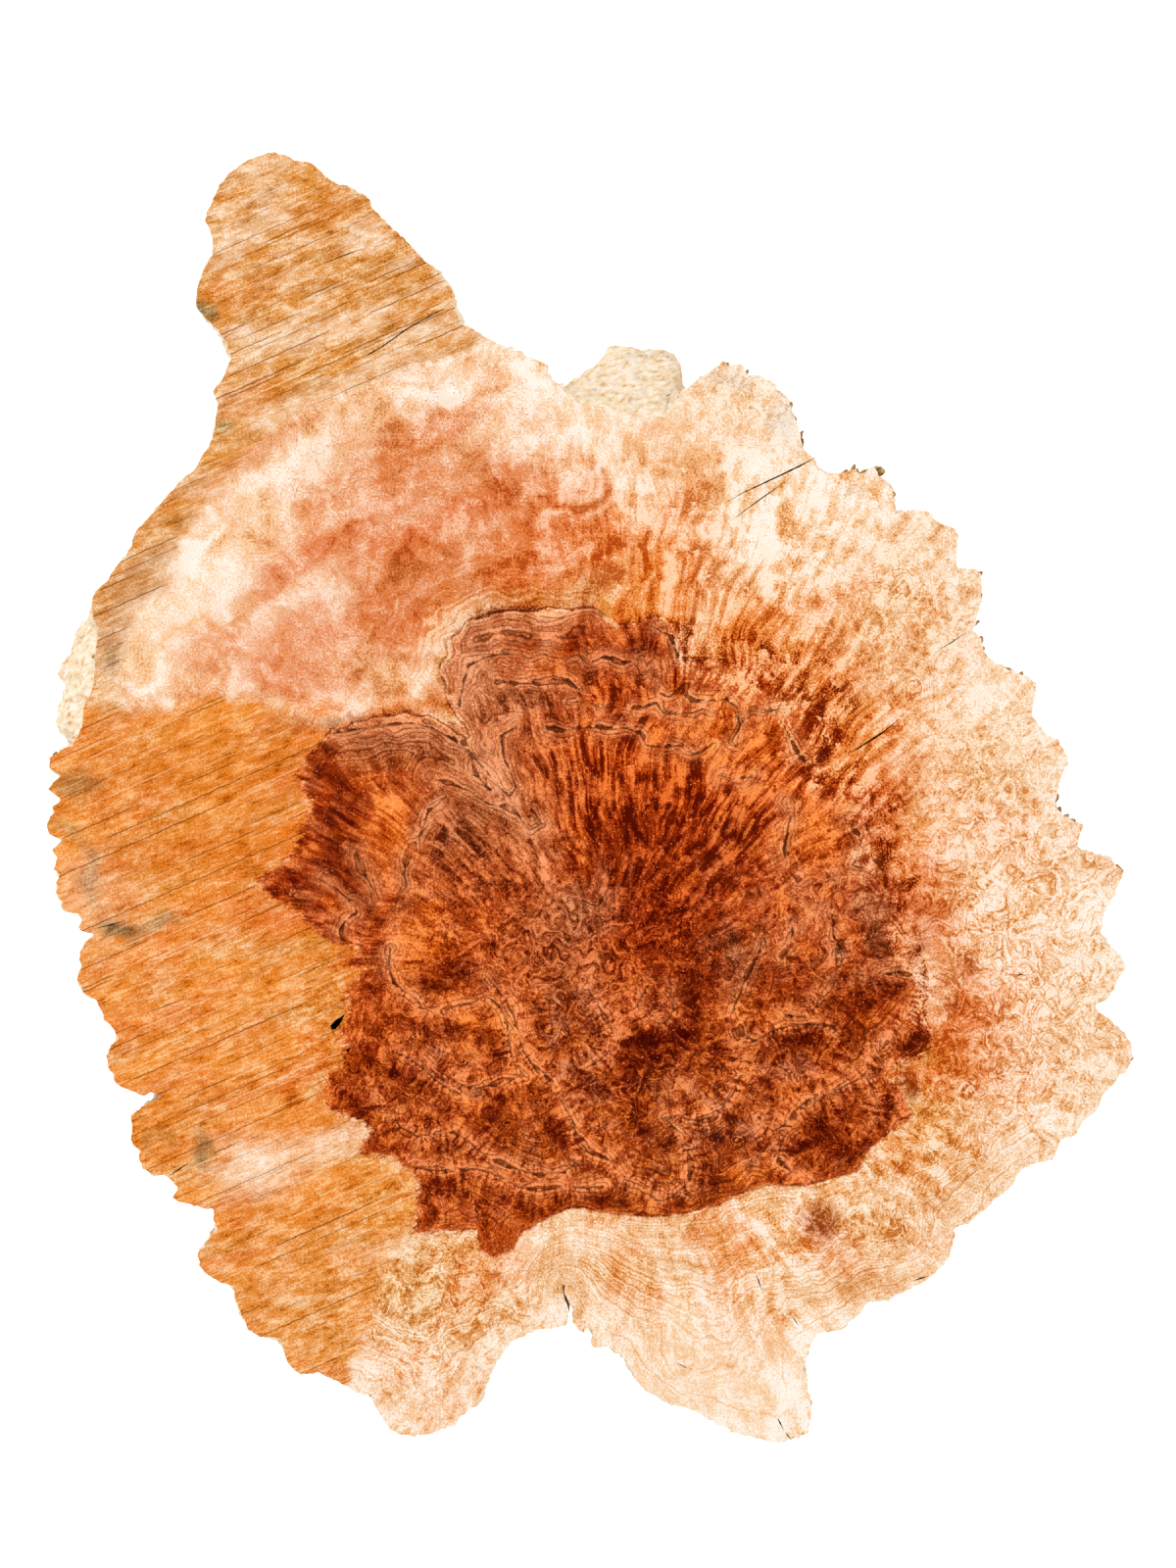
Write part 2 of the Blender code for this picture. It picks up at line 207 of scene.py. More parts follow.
# Soft spots of colour: palette, centre pixel, half length and half width in pixels, tilt in
# degrees counter-clockwise, and strength
OUTER_SPOTS = (
    ("cream", 640, 400, 95, 40, 0, 0.8), ("cream", 560, 430, 60, 40, 0, 0.7),
    ("cream", 770, 450, 60, 60, 0, 0.6), ("ochre sap", 740, 400, 34, 50, 0, 0.5),
    ("cream", 880, 520, 80, 60, 0, 0.7), ("ochre sap", 940, 550, 50, 24, 30, 0.55),
    ("orange sap", 690, 575, 60, 60, 60, 0.9), ("orange sap", 640, 545, 40, 42, 90, 0.8),
    ("orange sap", 700, 510, 60, 26, 60, 0.5), ("orange sap", 760, 640, 62, 34, 40, 0.75),
    ("cream", 760, 560, 40, 22, 40, 0.6), ("cream", 710, 640, 14, 44, -30, 0.35),
    ("orange sap", 840, 690, 80, 36, 28, 0.8), ("orange sap", 850, 620, 50, 26, 40, 0.55),
    ("ochre sap", 920, 640, 60, 40, 25, 0.5), ("orange sap", 900, 740, 60, 26, 25, 0.7),
    ("cream", 1020, 700, 50, 36, 0, 0.8), ("cream", 1060, 800, 40, 60, 0, 0.7),
    ("orange sap", 950, 790, 50, 40, 0, 0.55), ("ochre sap", 1015, 780, 56, 36, -30, 0.65),
    ("rosy", 900, 830, 26, 40, 0, 0.8), ("orange sap", 1000, 860, 60, 40, 0, 0.45),
    ("cream", 1060, 900, 50, 30, 0, 0.5), ("rosy", 940, 930, 34, 50, 20, 0.8),
    ("cream", 950, 1000, 14, 46, 10, 0.7), ("orange sap", 1000, 1060, 60, 60, 0, 0.55),
    ("rosy", 985, 1040, 30, 70, 0, 0.65), ("cream", 1090, 960, 60, 30, 0, 0.6),
    ("ochre sap", 1110, 1050, 40, 50, 0, 0.45), ("ochre sap", 960, 1150, 60, 30, 30, 0.5),
    ("cream", 1080, 1120, 70, 24, 35, 0.6), ("ochre sap", 1000, 1220, 70, 24, 40, 0.5),
    ("ochre sap", 905, 1250, 40, 34, 0, 0.45), ("cream", 600, 1262, 60, 14, 0, 0.6),
    ("ochre sap", 620, 1300, 90, 16, 6, 0.45), ("cream", 700, 1390, 80, 40, -20, 0.9),
    ("cream", 770, 1430, 60, 40, 0, 0.8), ("ochre sap", 860, 1310, 80, 14, 8, 0.5),
    ("ochre sap", 420, 1320, 46, 40, 20, 0.7), ("ochre sap", 490, 1350, 40, 22, 30, 0.5),
    ("cream", 440, 1425, 50, 30, 30, 0.45), ("orange sap", 505, 1300, 36, 16, 10, 0.5),
    ("cream", 400, 1270, 40, 12, 15, 0.6), ("cream", 150, 650, 60, 36, 60, 0.9),
    ("cream", 230, 560, 100, 34, 52, 0.9), ("cream", 330, 440, 110, 26, 35, 0.8),
    ("cream", 300, 610, 60, 30, 40, 0.7), ("pink brown", 400, 480, 80, 40, 25, 0.8),
    ("pink brown", 450, 560, 110, 40, 25, 0.9), ("orange sap", 560, 560, 60, 50, 60, 0.7),
    ("pink brown", 370, 640, 70, 24, 25, 0.8), ("pink brown", 480, 500, 60, 20, 25, 0.7),
    ("rosy", 330, 560, 110, 15, 33, 0.75), ("rosy", 440, 540, 90, 16, 25, 0.8),
    ("rosy", 560, 540, 40, 60, 90, 0.6), ("pink brown", 400, 600, 70, 26, 20, 0.7),
    ("rosy", 530, 590, 50, 24, 20, 0.5), ("rosy", 320, 640, 80, 24, 20, 0.55),
    ("rosy", 300, 690, 60, 20, -10, 0.6), ("rosy", 410, 640, 40, 22, 30, 0.6),
    ("cream", 215, 600, 60, 22, 55, 0.8), ("cream", 165, 690, 34, 26, 0, 0.6),
    ("cream", 420, 690, 36, 26, 0, 0.7), ("cream", 330, 700, 36, 12, -10, 0.4),
    ("cream", 350, 610, 26, 14, 20, 0.5), ("cream", 440, 400, 60, 16, 15, 0.7),
    ("cream", 270, 480, 40, 18, 50, 0.5), ("deep sawn", 200, 780, 110, 26, 12, 0.6),
    ("deep sawn", 180, 870, 80, 30, 0, 0.6), ("deep sawn", 150, 730, 40, 12, 20, 0.5),
    ("cream", 90, 920, 30, 50, 0, 0.35), ("deep sawn", 260, 810, 50, 24, 25, 0.4),
    ("rosy", 260, 940, 80, 20, 10, 0.35), ("deep sawn", 170, 1140, 50, 26, 20, 0.55),
    ("cream", 265, 1190, 44, 26, 10, 0.95), ("deep sawn", 240, 1250, 60, 24, 20, 0.3),
    ("horn", 300, 1330, 70, 80, -35, 0.6), ("cream", 340, 1165, 40, 14, 20, 0.7),
    ("ochre sap", 330, 1000, 24, 60, 10, 0.6), ("ochre sap", 400, 1230, 30, 50, 10, 0.4),
    ("deep sawn", 330, 215, 40, 18, 20, 0.6), ("deep sawn", 240, 300, 50, 16, 20, 0.6),
    ("deep sawn", 250, 410, 44, 16, 20, 0.6), ("deep sawn", 250, 470, 80, 12, 35, 0.7),
    ("cream", 245, 240, 40, 10, 20, 0.6), ("cream", 290, 350, 60, 12, 20, 0.6),
    ("cream", 440, 340, 40, 12, 25, 0.5), ("brown skin", 145, 590, 34, 16, 45, 0.7),
    ("brown skin", 112, 640, 12, 46, 0, 0.6), ("cream", 260, 170, 34, 8, 20, 0.5),
    ("olive bands", 455, 690, 12, 44, 5, 0.5), ("olive bands", 484, 630, 34, 16, 35, 0.5),
    ("olive bands", 545, 612, 50, 12, -5, 0.5), ("olive bands", 605, 606, 34, 10, 0, 0.5),
    ("olive bands", 460, 738, 22, 12, -30, 0.5), ("brown bands", 350, 738, 50, 5, 0, 0.7),
    ("red heart", 931, 1064, 18, 16, 20, 1.0), ("dark heart", 931, 1064, 13, 11, 20, 0.7),
    ("dark heart", 928, 1105, 14, 11, -50, 0.7), ("red heart", 838, 1248, 20, 18, 0, 0.8),
    ("red heart", 908, 966, 12, 9, 0, 0.8), ("red heart", 938, 968, 12, 8, 20, 0.8),
    ("pink heart", 930, 930, 24, 30, 0, 0.5), ("pink heart", 985, 985, 12, 14, 0, 0.5),
    ("red heart", 974, 1023, 9, 8, 0, 0.6), ("green stain", 208, 317, 7, 8, 0, 0.9),
    ("green stain", 228, 439, 9, 8, 0, 0.85), ("dark stain", 121, 951, 14, 10, 20, 0.95),
    ("green stain", 155, 945, 32, 8, 12, 0.55), ("dark stain", 205, 1173, 9, 13, -20, 0.9),
    ("dark stain", 155, 1163, 14, 8, 20, 0.4), ("dark stain", 80, 800, 22, 12, 0, 0.6),
    ("dark stain", 90, 890, 6, 40, 15, 0.5), ("dark stain", 115, 675, 8, 14, 0, 0.5),
    ("green stain", 68, 840, 14, 8, 0, 0.4), ("brown skin", 217, 225, 20, 5, -25, 0.4),
    ("grey weathered", 800, 430, 16, 20, 0, 0.7), ("grey weathered", 745, 385, 22, 8, 0, 0.6),
    ("grey weathered", 868, 505, 16, 8, 0, 0.55),
)
HEART_SPOTS = (
    ("fan", 600, 740, 130, 90, 0, 0.95), ("fan", 720, 780, 110, 70, 0, 0.95),
    ("orange heart", 750, 740, 70, 50, 0, 0.6), ("orange heart", 600, 650, 40, 30, 0, 0.15),
    ("orange heart", 560, 690, 50, 14, 0, 0.3), ("dark fan", 660, 880, 50, 90, -15, 0.8),
    ("dark fan", 630, 665, 60, 30, 0, 0.6), ("dark fan", 690, 960, 60, 50, 0, 0.8),
    ("dark fan", 610, 830, 16, 60, 5, 0.5), ("plum", 480, 680, 24, 50, 0, 0.8),
    ("pale veil", 530, 640, 60, 16, 5, 0.7), ("pale veil", 500, 720, 40, 60, 20, 0.7),
    ("pale veil", 470, 770, 40, 20, -40, 0.7), ("pale veil", 470, 690, 20, 50, 0, 0.6),
    ("plum", 540, 712, 40, 14, 0, 0.6), ("veil", 480, 850, 60, 60, 35, 0.85),
    ("plum", 470, 840, 50, 26, 20, 0.5), ("pale veil", 400, 752, 90, 11, -8, 0.85),
    ("pale veil", 500, 790, 16, 50, 30, 0.8), ("pale veil", 545, 870, 14, 50, 20, 0.6),
    ("veil", 560, 960, 50, 50, 0, 0.6), ("plum", 590, 930, 30, 30, 0, 0.6),
    ("veil", 560, 800, 30, 60, 0, 0.35), ("veil", 590, 1060, 50, 50, 0, 0.45),
    ("plum", 580, 1040, 40, 50, 0, 0.6), ("plum", 605, 1120, 30, 40, 0, 0.5),
    ("brown bands", 410, 765, 80, 20, 0, 0.9), ("dark heart", 340, 860, 50, 50, 0, 0.5),
    ("orange heart", 400, 850, 26, 44, 0, 0.8), ("orange heart", 430, 960, 40, 30, 0, 0.6),
    ("dark heart", 450, 1005, 34, 22, 0, 0.8), ("orange heart", 475, 1035, 40, 12, -35, 0.8),
    ("orange heart", 410, 990, 8, 36, 10, 0.6), ("red heart", 400, 1050, 50, 20, 0, 0.6),
    ("orange heart", 515, 1060, 8, 40, 10, 0.9), ("dark heart", 505, 1085, 14, 24, 0, 0.7),
    ("plum", 455, 1075, 36, 18, -30, 0.7), ("orange heart", 550, 1120, 14, 36, 25, 0.9),
    ("dark heart", 415, 1110, 34, 20, -20, 0.8), ("dark heart", 470, 1150, 40, 20, -10, 0.6),
    ("pink heart", 430, 1125, 20, 8, 0, 0.4), ("dark heart", 565, 1155, 10, 26, 20, 0.8),
    ("plum", 530, 1160, 26, 30, 0, 0.5), ("brown bands", 550, 1190, 60, 14, -10, 0.8),
    ("brown bands", 460, 1180, 40, 10, 0, 0.6), ("pink heart", 450, 1230, 60, 24, 0, 0.5),
    ("dark heart", 700, 1062, 56, 20, 5, 1.0), ("dark heart", 735, 1090, 16, 26, 0, 0.8),
    ("dark heart", 650, 1090, 24, 36, 0, 0.9), ("dark heart", 645, 1140, 20, 18, 0, 1.0),
    ("dark heart", 655, 1056, 14, 20, 0, 0.8), ("orange heart", 765, 1070, 8, 40, 0, 0.9),
    ("plum", 695, 1110, 40, 24, 0, 0.5), ("dark heart", 800, 1060, 50, 14, 5, 0.95),
    ("dark heart", 850, 1060, 30, 14, -20, 0.9), ("orange heart", 790, 1035, 60, 8, 0, 0.8),
    ("dark heart", 820, 1010, 30, 26, 20, 0.7), ("plum", 800, 1090, 34, 18, 0, 0.6),
    ("dark heart", 890, 1010, 46, 14, 5, 0.9), ("red heart", 880, 1035, 30, 24, 0, 0.8),
    ("orange heart", 925, 1020, 6, 30, -10, 0.6), ("plum", 890, 1075, 16, 30, -40, 0.8),
    ("plum", 720, 1150, 60, 26, 20, 0.8), ("brown bands", 690, 1180, 40, 40, 10, 0.6),
    ("plum", 770, 1175, 30, 24, 0, 0.7), ("dark heart", 850, 1165, 50, 34, 20, 0.8),
    ("dark heart", 905, 1130, 20, 20, 0, 0.6), ("plum", 880, 1180, 40, 10, 35, 0.6),
    ("orange heart", 775, 1200, 40, 8, 0, 0.8), ("brown bands", 640, 1215, 100, 14, 0, 0.8),
    ("orange heart", 700, 1234, 90, 6, 3, 0.7), ("pink heart", 830, 900, 60, 60, 0, 0.25),
    ("orange heart", 830, 850, 40, 40, 0, 0.6), ("plum", 890, 940, 14, 50, 10, 0.7),
    ("plum", 756, 980, 10, 40, 15, 0.8), ("dark heart", 720, 1000, 40, 40, 0, 0.7),
    ("dark heart", 745, 860, 24, 40, -30, 0.4),
)

# Clouds of colour: region, palette, size in millimetres, and strength
CLOUDS = (
    ("sap", "orange sap", 13, 0.6), ("sap", "rosy", 15, 0.2), ("sap", "ochre sap", 9, 0.6),
    ("far sap", "cream", 14, 0.9), ("peach", "rosy", 13, 0.5), ("peach", "pink brown", 11, 0.7),
    ("peach", "cream", 14, 0.8), ("left sawn", "deep sawn", 10, 0.8), ("left sawn", "horn", 14, 0.6),
    ("left sawn", "rosy", 16, 0.4), ("horn", "horn smear", 8, 0.9), ("horn", "cream", 11, 0.7),
    ("red heart", "dark heart", 9, 0.75), ("red heart", "orange heart", 8, 0.7),
    ("red heart", "pink heart", 10, 0.5), ("red heart", "plum", 12, 0.35),
)

# Growth lines: dark wavy lines in the heart, each from end to end
GROWTH_LINES = (
    ((450, 710), (448, 687), (455, 657), (470, 640), (493, 628), (520, 622), (550, 628), (573, 630),
     (587, 620), (607, 620), (617, 630), (627, 640), (647, 633), (667, 640), (687, 650), (692, 672),
     (707, 675), (723, 672)),
    ((468, 720), (472, 700), (477, 680), (490, 672), (510, 667), (530, 668), (540, 672), (553, 667),
     (573, 672), (590, 668), (600, 678), (613, 670), (623, 672), (637, 677), (653, 672), (657, 687),
     (670, 678), (673, 683)),
    ((507, 695), (527, 697), (547, 697), (563, 693), (580, 695), (590, 703)),
    ((670, 697), (673, 707), (683, 710), (693, 703), (700, 697)),
    ((700, 707), (707, 715), (723, 715), (740, 713), (753, 723), (755, 740), (747, 757)),
    ((757, 733), (767, 725), (780, 727), (793, 723), (810, 723)),
    ((580, 717), (597, 715), (613, 722), (633, 722), (653, 722), (670, 717), (678, 728), (693, 728),
     (707, 727), (717, 723), (730, 728)),
    ((560, 743), (580, 745), (600, 742), (620, 743), (640, 743), (653, 748), (660, 760), (677, 763),
     (693, 760), (707, 770), (717, 767), (727, 757)),
    ((737, 792), (750, 795), (767, 792)),
    ((800, 740), (810, 760), (820, 777), (827, 780)),
    ((802, 820), (807, 833), (803, 853), (800, 867), (803, 887), (813, 897)),
    ((863, 837), (877, 853), (877, 870), (870, 883), (887, 887)),
    ((583, 918), (597, 920), (610, 925), (617, 913), (627, 887)),
    ((473, 757), (490, 780), (507, 800), (520, 813), (527, 803), (520, 787), (513, 767), (512, 750),
     (527, 742)),
    ((440, 793), (460, 800), (480, 807), (497, 820), (517, 823), (530, 833), (540, 847), (553, 840),
     (543, 827)),
    ((340, 748), (380, 742), (415, 737), (440, 742), (462, 754), (478, 766), (486, 790), (500, 806)),
    ((454, 814), (436, 829), (430, 850), (415, 874), (412, 892), (415, 904), (403, 922), (403, 940)),
    ((364, 871), (370, 889), (379, 904), (383, 919)),
    ((331, 895), (346, 910), (361, 922), (364, 931), (352, 940), (346, 952), (355, 964)),
    ((398, 968), (396, 986), (402, 1003), (412, 1012), (424, 1019), (430, 1029), (446, 1034),
     (467, 1027), (483, 1023), (496, 1017), (510, 1027), (516, 1046), (519, 1066), (522, 1082),
     (532, 1095)),
    ((497, 997), (516, 1021), (524, 1038), (528, 1058), (534, 1074), (546, 1089), (561, 1101),
     (569, 1115), (577, 1133), (585, 1148), (589, 1162), (600, 1176), (616, 1180), (625, 1187),
     (634, 1203), (653, 1210), (671, 1219), (690, 1219), (701, 1208), (706, 1190), (701, 1171),
     (692, 1157), (678, 1141)),
    ((402, 1074), (418, 1080), (432, 1091), (445, 1103), (459, 1113), (475, 1119), (489, 1117)),
    ((434, 1084), (451, 1095), (471, 1107), (487, 1111), (504, 1107), (522, 1101), (536, 1099)),
    ((385, 1119), (389, 1131), (402, 1140), (408, 1150), (426, 1160), (442, 1158), (463, 1156),
     (473, 1162), (483, 1170), (498, 1182), (520, 1191), (536, 1197), (555, 1199), (575, 1197),
     (591, 1185)),
    ((422, 1191), (442, 1195), (463, 1195), (483, 1193), (500, 1197), (516, 1205), (532, 1213),
     (551, 1213), (571, 1211), (596, 1213), (616, 1211)),
    ((777, 960), (774, 974), (765, 990), (758, 1006), (751, 1024), (747, 1038)),
    ((747, 1015), (751, 997), (747, 981), (729, 967)),
    ((756, 1047), (761, 1059), (770, 1063), (788, 1052), (807, 1047), (825, 1045), (848, 1047),
     (859, 1056)),
    ((751, 1052), (756, 1075), (756, 1098), (749, 1116), (738, 1130), (724, 1141), (708, 1144),
     (692, 1139), (678, 1141)),
    ((869, 994), (889, 997), (914, 992), (931, 994), (940, 1006), (938, 1022), (926, 1038), (914, 1056),
     (896, 1075), (882, 1098), (866, 1107), (843, 1118), (825, 1123), (811, 1134), (802, 1148),
     (784, 1157), (774, 1141)),
    ((852, 1118), (830, 1125), (816, 1134), (807, 1148), (797, 1167), (795, 1185), (807, 1196),
     (832, 1208)),
    ((882, 1098), (891, 1109), (896, 1125), (894, 1144)),
    ((910, 1089), (921, 1107), (928, 1125), (931, 1141), (921, 1150)),
    ((855, 960), (853, 974), (855, 990), (841, 1013), (830, 1031), (813, 1038), (802, 1036)),
    ((851, 895), (848, 925), (851, 955), (860, 979), (854, 994)),
    ((809, 949), (806, 967), (797, 976)),
    ((660, 1008), (650, 1028), (660, 1042), (676, 1046), (688, 1032), (684, 1012)),
    ((600, 1010), (622, 1046), (628, 1062), (618, 1078), (600, 1090)),
)

# Eyes that stand out: centre pixel, radius in pixels, and how dark the eye is
EYES = (
    (838, 1248, 22, 0.9), (909, 1255, 27, 0.4), (974, 1023, 12, 0.7), (969, 998, 14, 0.5),
    (990, 980, 9, 0.5), (1023, 1034, 18, 0.4), (1043, 1082, 25, 0.35), (990, 1110, 15, 0.75),
    (1018, 1097, 14, 0.8), (931, 1064, 19, 1.0), (928, 1105, 14, 0.9), (969, 1164, 10, 0.6),
    (916, 1192, 11, 0.5), (951, 1181, 13, 0.45), (908, 965, 9, 0.7), (936, 967, 10, 0.7),
    (982, 911, 11, 0.5), (1059, 1003, 16, 0.2), (859, 963, 8, 0.9), (673, 1027, 12, 0.8),
    (823, 1022, 12, 0.9), (840, 970, 7, 0.9), (345, 1115, 12, 0.8), (472, 1083, 10, 0.8),
    (551, 1046, 13, 0.7), (577, 1055, 9, 0.8), (606, 1060, 10, 0.7), (606, 1106, 14, 0.8),
    (655, 1062, 12, 0.9), (668, 1093, 12, 0.9), (733, 1090, 12, 0.9), (645, 1135, 14, 0.95),
    (697, 1060, 10, 0.8), (590, 1183, 9, 0.7), (755, 1163, 14, 0.6), (818, 1166, 12, 0.9),
    (838, 1145, 11, 0.9), (869, 1183, 9, 0.8), (792, 1203, 7, 0.7), (853, 1130, 10, 0.9),
    (907, 1122, 9, 0.7), (875, 1025, 7, 0.8), (893, 1020, 6, 0.8), (435, 1227, 6, 0.9),
    (459, 1222, 6, 0.8), (487, 1238, 5, 1.0), (506, 1237, 5, 1.0), (478, 1218, 7, 0.7),
    (507, 1302, 10, 0.6), (420, 1340, 14, 0.35), (462, 1330, 12, 0.3), (396, 1337, 8, 0.6),
    (698, 1401, 13, 0.25), (940, 700, 16, 0.15), (925, 600, 30, 0.1), (1000, 1180, 12, 0.2),
)

# How far a marked and a small eye's dark core spreads, in radii, the small eyes' radii in pixels,
# and how many square pixels of a spot there are for each
MARKED_SPREAD = 0.9
SMALL_SPREAD = 0.5
SMALL_RADII = (5, 10)
EYE_ROOM = 250

# Drying checks: (px, py, width in millimetres) from tip to tip, and how many millimetres deep
CHECKS = (
    (((771, 1299, 0), (774, 1307, 0.35), (778, 1319, 0)), 3.0),
    (((807, 1341, 0), (811, 1347, 0.3), (816, 1354, 0)), 2.0),
    (((793, 1446, 0), (796, 1452, 0.4), (800, 1460, 0)), 3.0),
    (((801, 1461, 0), (804, 1465, 0.35), (808, 1470, 0)), 3.0),
    (((932, 1307, 0), (939, 1304.5, 0.45), (948, 1302, 0)), 3.0),
    (((365, 367, 0), (379, 360, 0.3), (391, 353, 0.35), (419, 333, 0.3), (440, 322, 0.3),
      (458, 312, 0)), 2.0),
    (((322, 272, 0), (350, 261, 0.3), (380, 250, 0)), 1.5),
    (((738, 514, 0), (760, 502, 0.25), (790, 488, 0.35), (815, 476, 0.5), (834, 466, 0)), 2.5),
    (((742, 534, 0), (775, 510, 0.3), (812, 484, 0)), 1.5),
    (((955, 665, 0), (970, 656, 0.3), (988, 644, 0)), 2.0),
    (((862, 770, 0), (878, 762, 0.4), (900, 748, 0.45), (920, 732, 0)), 2.5),
    (((171, 1201, 0), (183, 1193, 0.4), (196, 1184, 0)), 2.0),
    (((1037, 997, 0), (1041, 994, 0.45), (1045, 995, 0)), 1.5),
    (((690, 1391, 0), (696, 1393, 0.3), (702, 1397, 0)), 1.5),
    (((95, 948, 0), (112, 944, 0.35), (131, 938, 0)), 1.5),
    (((145, 1035, 0), (170, 1026, 0.25), (196, 1016, 0)), 1.0),
)
POCKET_DEPTH = 6 * MM
# The width of their floors, next to their mouths, and the roughness of a pocket's mouth
CHECK_TAPER = 0.3
POCKET_TAPER = 0.6
POCKET_GRIT = (0.12 * MM, 1.5 * MM)

# Where each kind of figure is strong: centre pixel, half length, half width, tilt, strength
CURL_SPOTS = (
    (700, 1100, 280, 120, 0, 1.0), (420, 1080, 110, 110, 0, 0.9), (850, 950, 90, 110, 0, 0.9),
    (600, 990, 180, 90, 0, 1.0), (460, 930, 50, 60, 0, 0.5), (1050, 950, 130, 260, 0, 1.0),
    (450, 1350, 110, 90, 0, 0.9), (900, 1250, 120, 60, 0, 0.6), (700, 1400, 80, 40, 0, 0.7),
    (950, 620, 110, 90, 0, 0.6), (750, 420, 90, 50, 0, 0.7), (760, 730, 80, 50, 0, 0.45),
    (400, 560, 260, 160, 30, 0.35), (460, 1230, 90, 50, 0, 0.7),
)
EYE_SPOTS = (
    (560, 1080, 110, 70, 0, 1.0), (740, 1090, 150, 80, 0, 1.0), (410, 1090, 80, 90, 0, 0.9),
    (850, 930, 60, 90, 0, 0.9), (980, 1010, 80, 160, 0, 0.8), (460, 1235, 60, 36, 0, 1.0),
    (430, 1340, 60, 50, 0, 1.0), (925, 1190, 60, 40, 30, 0.7), (980, 830, 90, 70, 0, 0.6),
    (900, 1100, 60, 60, 0, 0.8), (1040, 1120, 60, 60, 0, 0.5),
)
BAND_SPOTS = (
    (500, 640, 110, 70, 0, 1.0), (430, 755, 110, 40, 0, 1.0), (500, 790, 50, 50, 0, 0.9),
    (690, 1215, 190, 40, 0, 1.0), (540, 1180, 90, 50, 0, 0.8), (900, 1060, 60, 80, 0, 0.7),
    (740, 1150, 60, 60, 0, 0.7), (640, 1290, 160, 60, 0, 0.8), (880, 1320, 120, 50, 0, 0.8),
    (420, 900, 40, 80, 0, 0.4), (1000, 1200, 120, 60, 40, 0.7), (1090, 980, 90, 220, 0, 0.5),
    (430, 1350, 110, 80, 0, 0.7), (700, 1400, 100, 60, 0, 0.7), (460, 1230, 90, 60, 0, 0.7),
    (900, 900, 40, 100, 0, 0.5), (930, 620, 70, 60, 0, 0.25), (400, 1080, 90, 90, 0, 0.5),
)
# Where the wood is pitted
PIT_SPOTS = (
    (400, 440, 110, 50, 20, 1.0), (470, 500, 70, 30, 20, 0.6), (520, 430, 50, 30, 0, 0.7),
    (400, 350, 40, 20, 20, 0.3), (250, 300, 60, 30, 0, 0.4), (300, 500, 60, 30, 40, 0.5),
)
# Calm wood, in which the flecks hardly show
CALM_SPOTS = (
    (350, 850, 70, 100, 0, 0.35), (350, 560, 260, 150, 30, 0.3), (250, 640, 130, 80, 0, 0.4),
    (650, 430, 130, 60, 0, 0.3), (720, 1410, 90, 60, 0, 0.5),
)
# Where the heart's border is soft, by the millimetres given as strength
SOFT_SPOTS = (
    (800, 710, 110, 100, 0, 8.0), (900, 850, 70, 90, 0, 5.0), (930, 980, 40, 90, 0, 2.0),
    (700, 660, 50, 30, 0, 3.0), (500, 640, 90, 60, 0, 1.4), (430, 740, 110, 30, 0, 1.2),
)
# Where the saw tore the heart's border
TORN_SPOTS = ((310, 860, 70, 130, 0, 1.0), (380, 1050, 70, 110, 0, 1.0), (410, 1210, 60, 80, 0, 1.0))
# Where the burl's cream skin slopes out below the show face
APRON_SPOTS = ((640, 385, 110, 50, 0, 1.0), (60, 690, 50, 80, 0, 1.0), (740, 390, 60, 40, 0, 0.6))
# Long low hills in the sapwood of the right-hand knobs
HILLS = (
    (1100, 1000, 56, 26, 0, 1.0), (1090, 900, 40, 30, -30, 0.8), (1120, 1065, 40, 18, 15, 0.7),
    (1060, 1150, 50, 22, 25, 0.7), (1060, 840, 30, 30, 0, 0.5), (950, 560, 36, 24, 30, 0.8),
    (880, 600, 26, 16, 30, 0.6), (800, 560, 20, 26, 0, 0.5), (760, 430, 30, 36, 0, 0.6),
    (1000, 700, 30, 30, 0, 0.5), (420, 1340, 46, 34, 0, 0.8), (440, 1425, 40, 22, 0, 0.5),
    (960, 1260, 50, 22, 30, 0.7), (850, 1300, 60, 18, 5, 0.5), (700, 1395, 40, 22, -20, 0.7),
)

# Bark and splinters left on the edge: pixel, length and width in millimetres, heading in degrees
SCRAPS = (
    (891, 483, 4.4, 2.8, 10), (884, 487, 2.6, 1.6, 30), (871, 481, 3.2, 1.0, 70),
    (877, 479, 2.4, 0.9, 100), (864, 487, 2.2, 1.0, 40), (822, 446, 3.4, 0.9, 75),
    (826, 441, 2.8, 0.8, 60), (818, 452, 2.6, 1.0, 80), (913, 504, 1.6, 1.1, 20),
    (1001, 585, 1.5, 1.0, 50), (1001, 608, 1.6, 1.0, 70), (998, 637, 3.0, 0.7, 40),
    (1006, 652, 2.2, 1.2, 80), (1008, 661, 1.6, 0.9, 20), (1029, 681, 1.6, 1.0, 10),
    (1043, 686, 1.8, 1.2, 60), (1082, 815, 2.6, 1.6, 80), (1085, 824, 2.4, 1.4, 60),
    (1089, 831, 2.0, 1.3, 40), (1096, 837, 1.5, 1.0, 0), (1142, 887, 2.8, 0.8, -50),
    (1155, 1080, 1.6, 0.9, 70), (742, 371, 1.8, 0.9, 30), (762, 380, 2.2, 0.9, 60),
    (806, 415, 2.6, 0.9, 80), (812, 427, 2.2, 0.8, 100), (34, 735, 1.8, 0.9, 60),
    (42, 655, 1.8, 0.9, 45),
)
SCRAP_DEPTH = 1.6 * MM
SCRAP_ROUGHNESS = 0.9 * MM


def at(px, py):
    """A photograph pixel as metres on the show face."""
    return ((px - ORIGIN_PX[0]) * PIXEL, (ORIGIN_PX[1] - py) * PIXEL)


def outline_at(pixels):
    return np.array([at(px, py) for px, py in pixels])


# Fields: plain functions of a point's place, worked out for all points at once

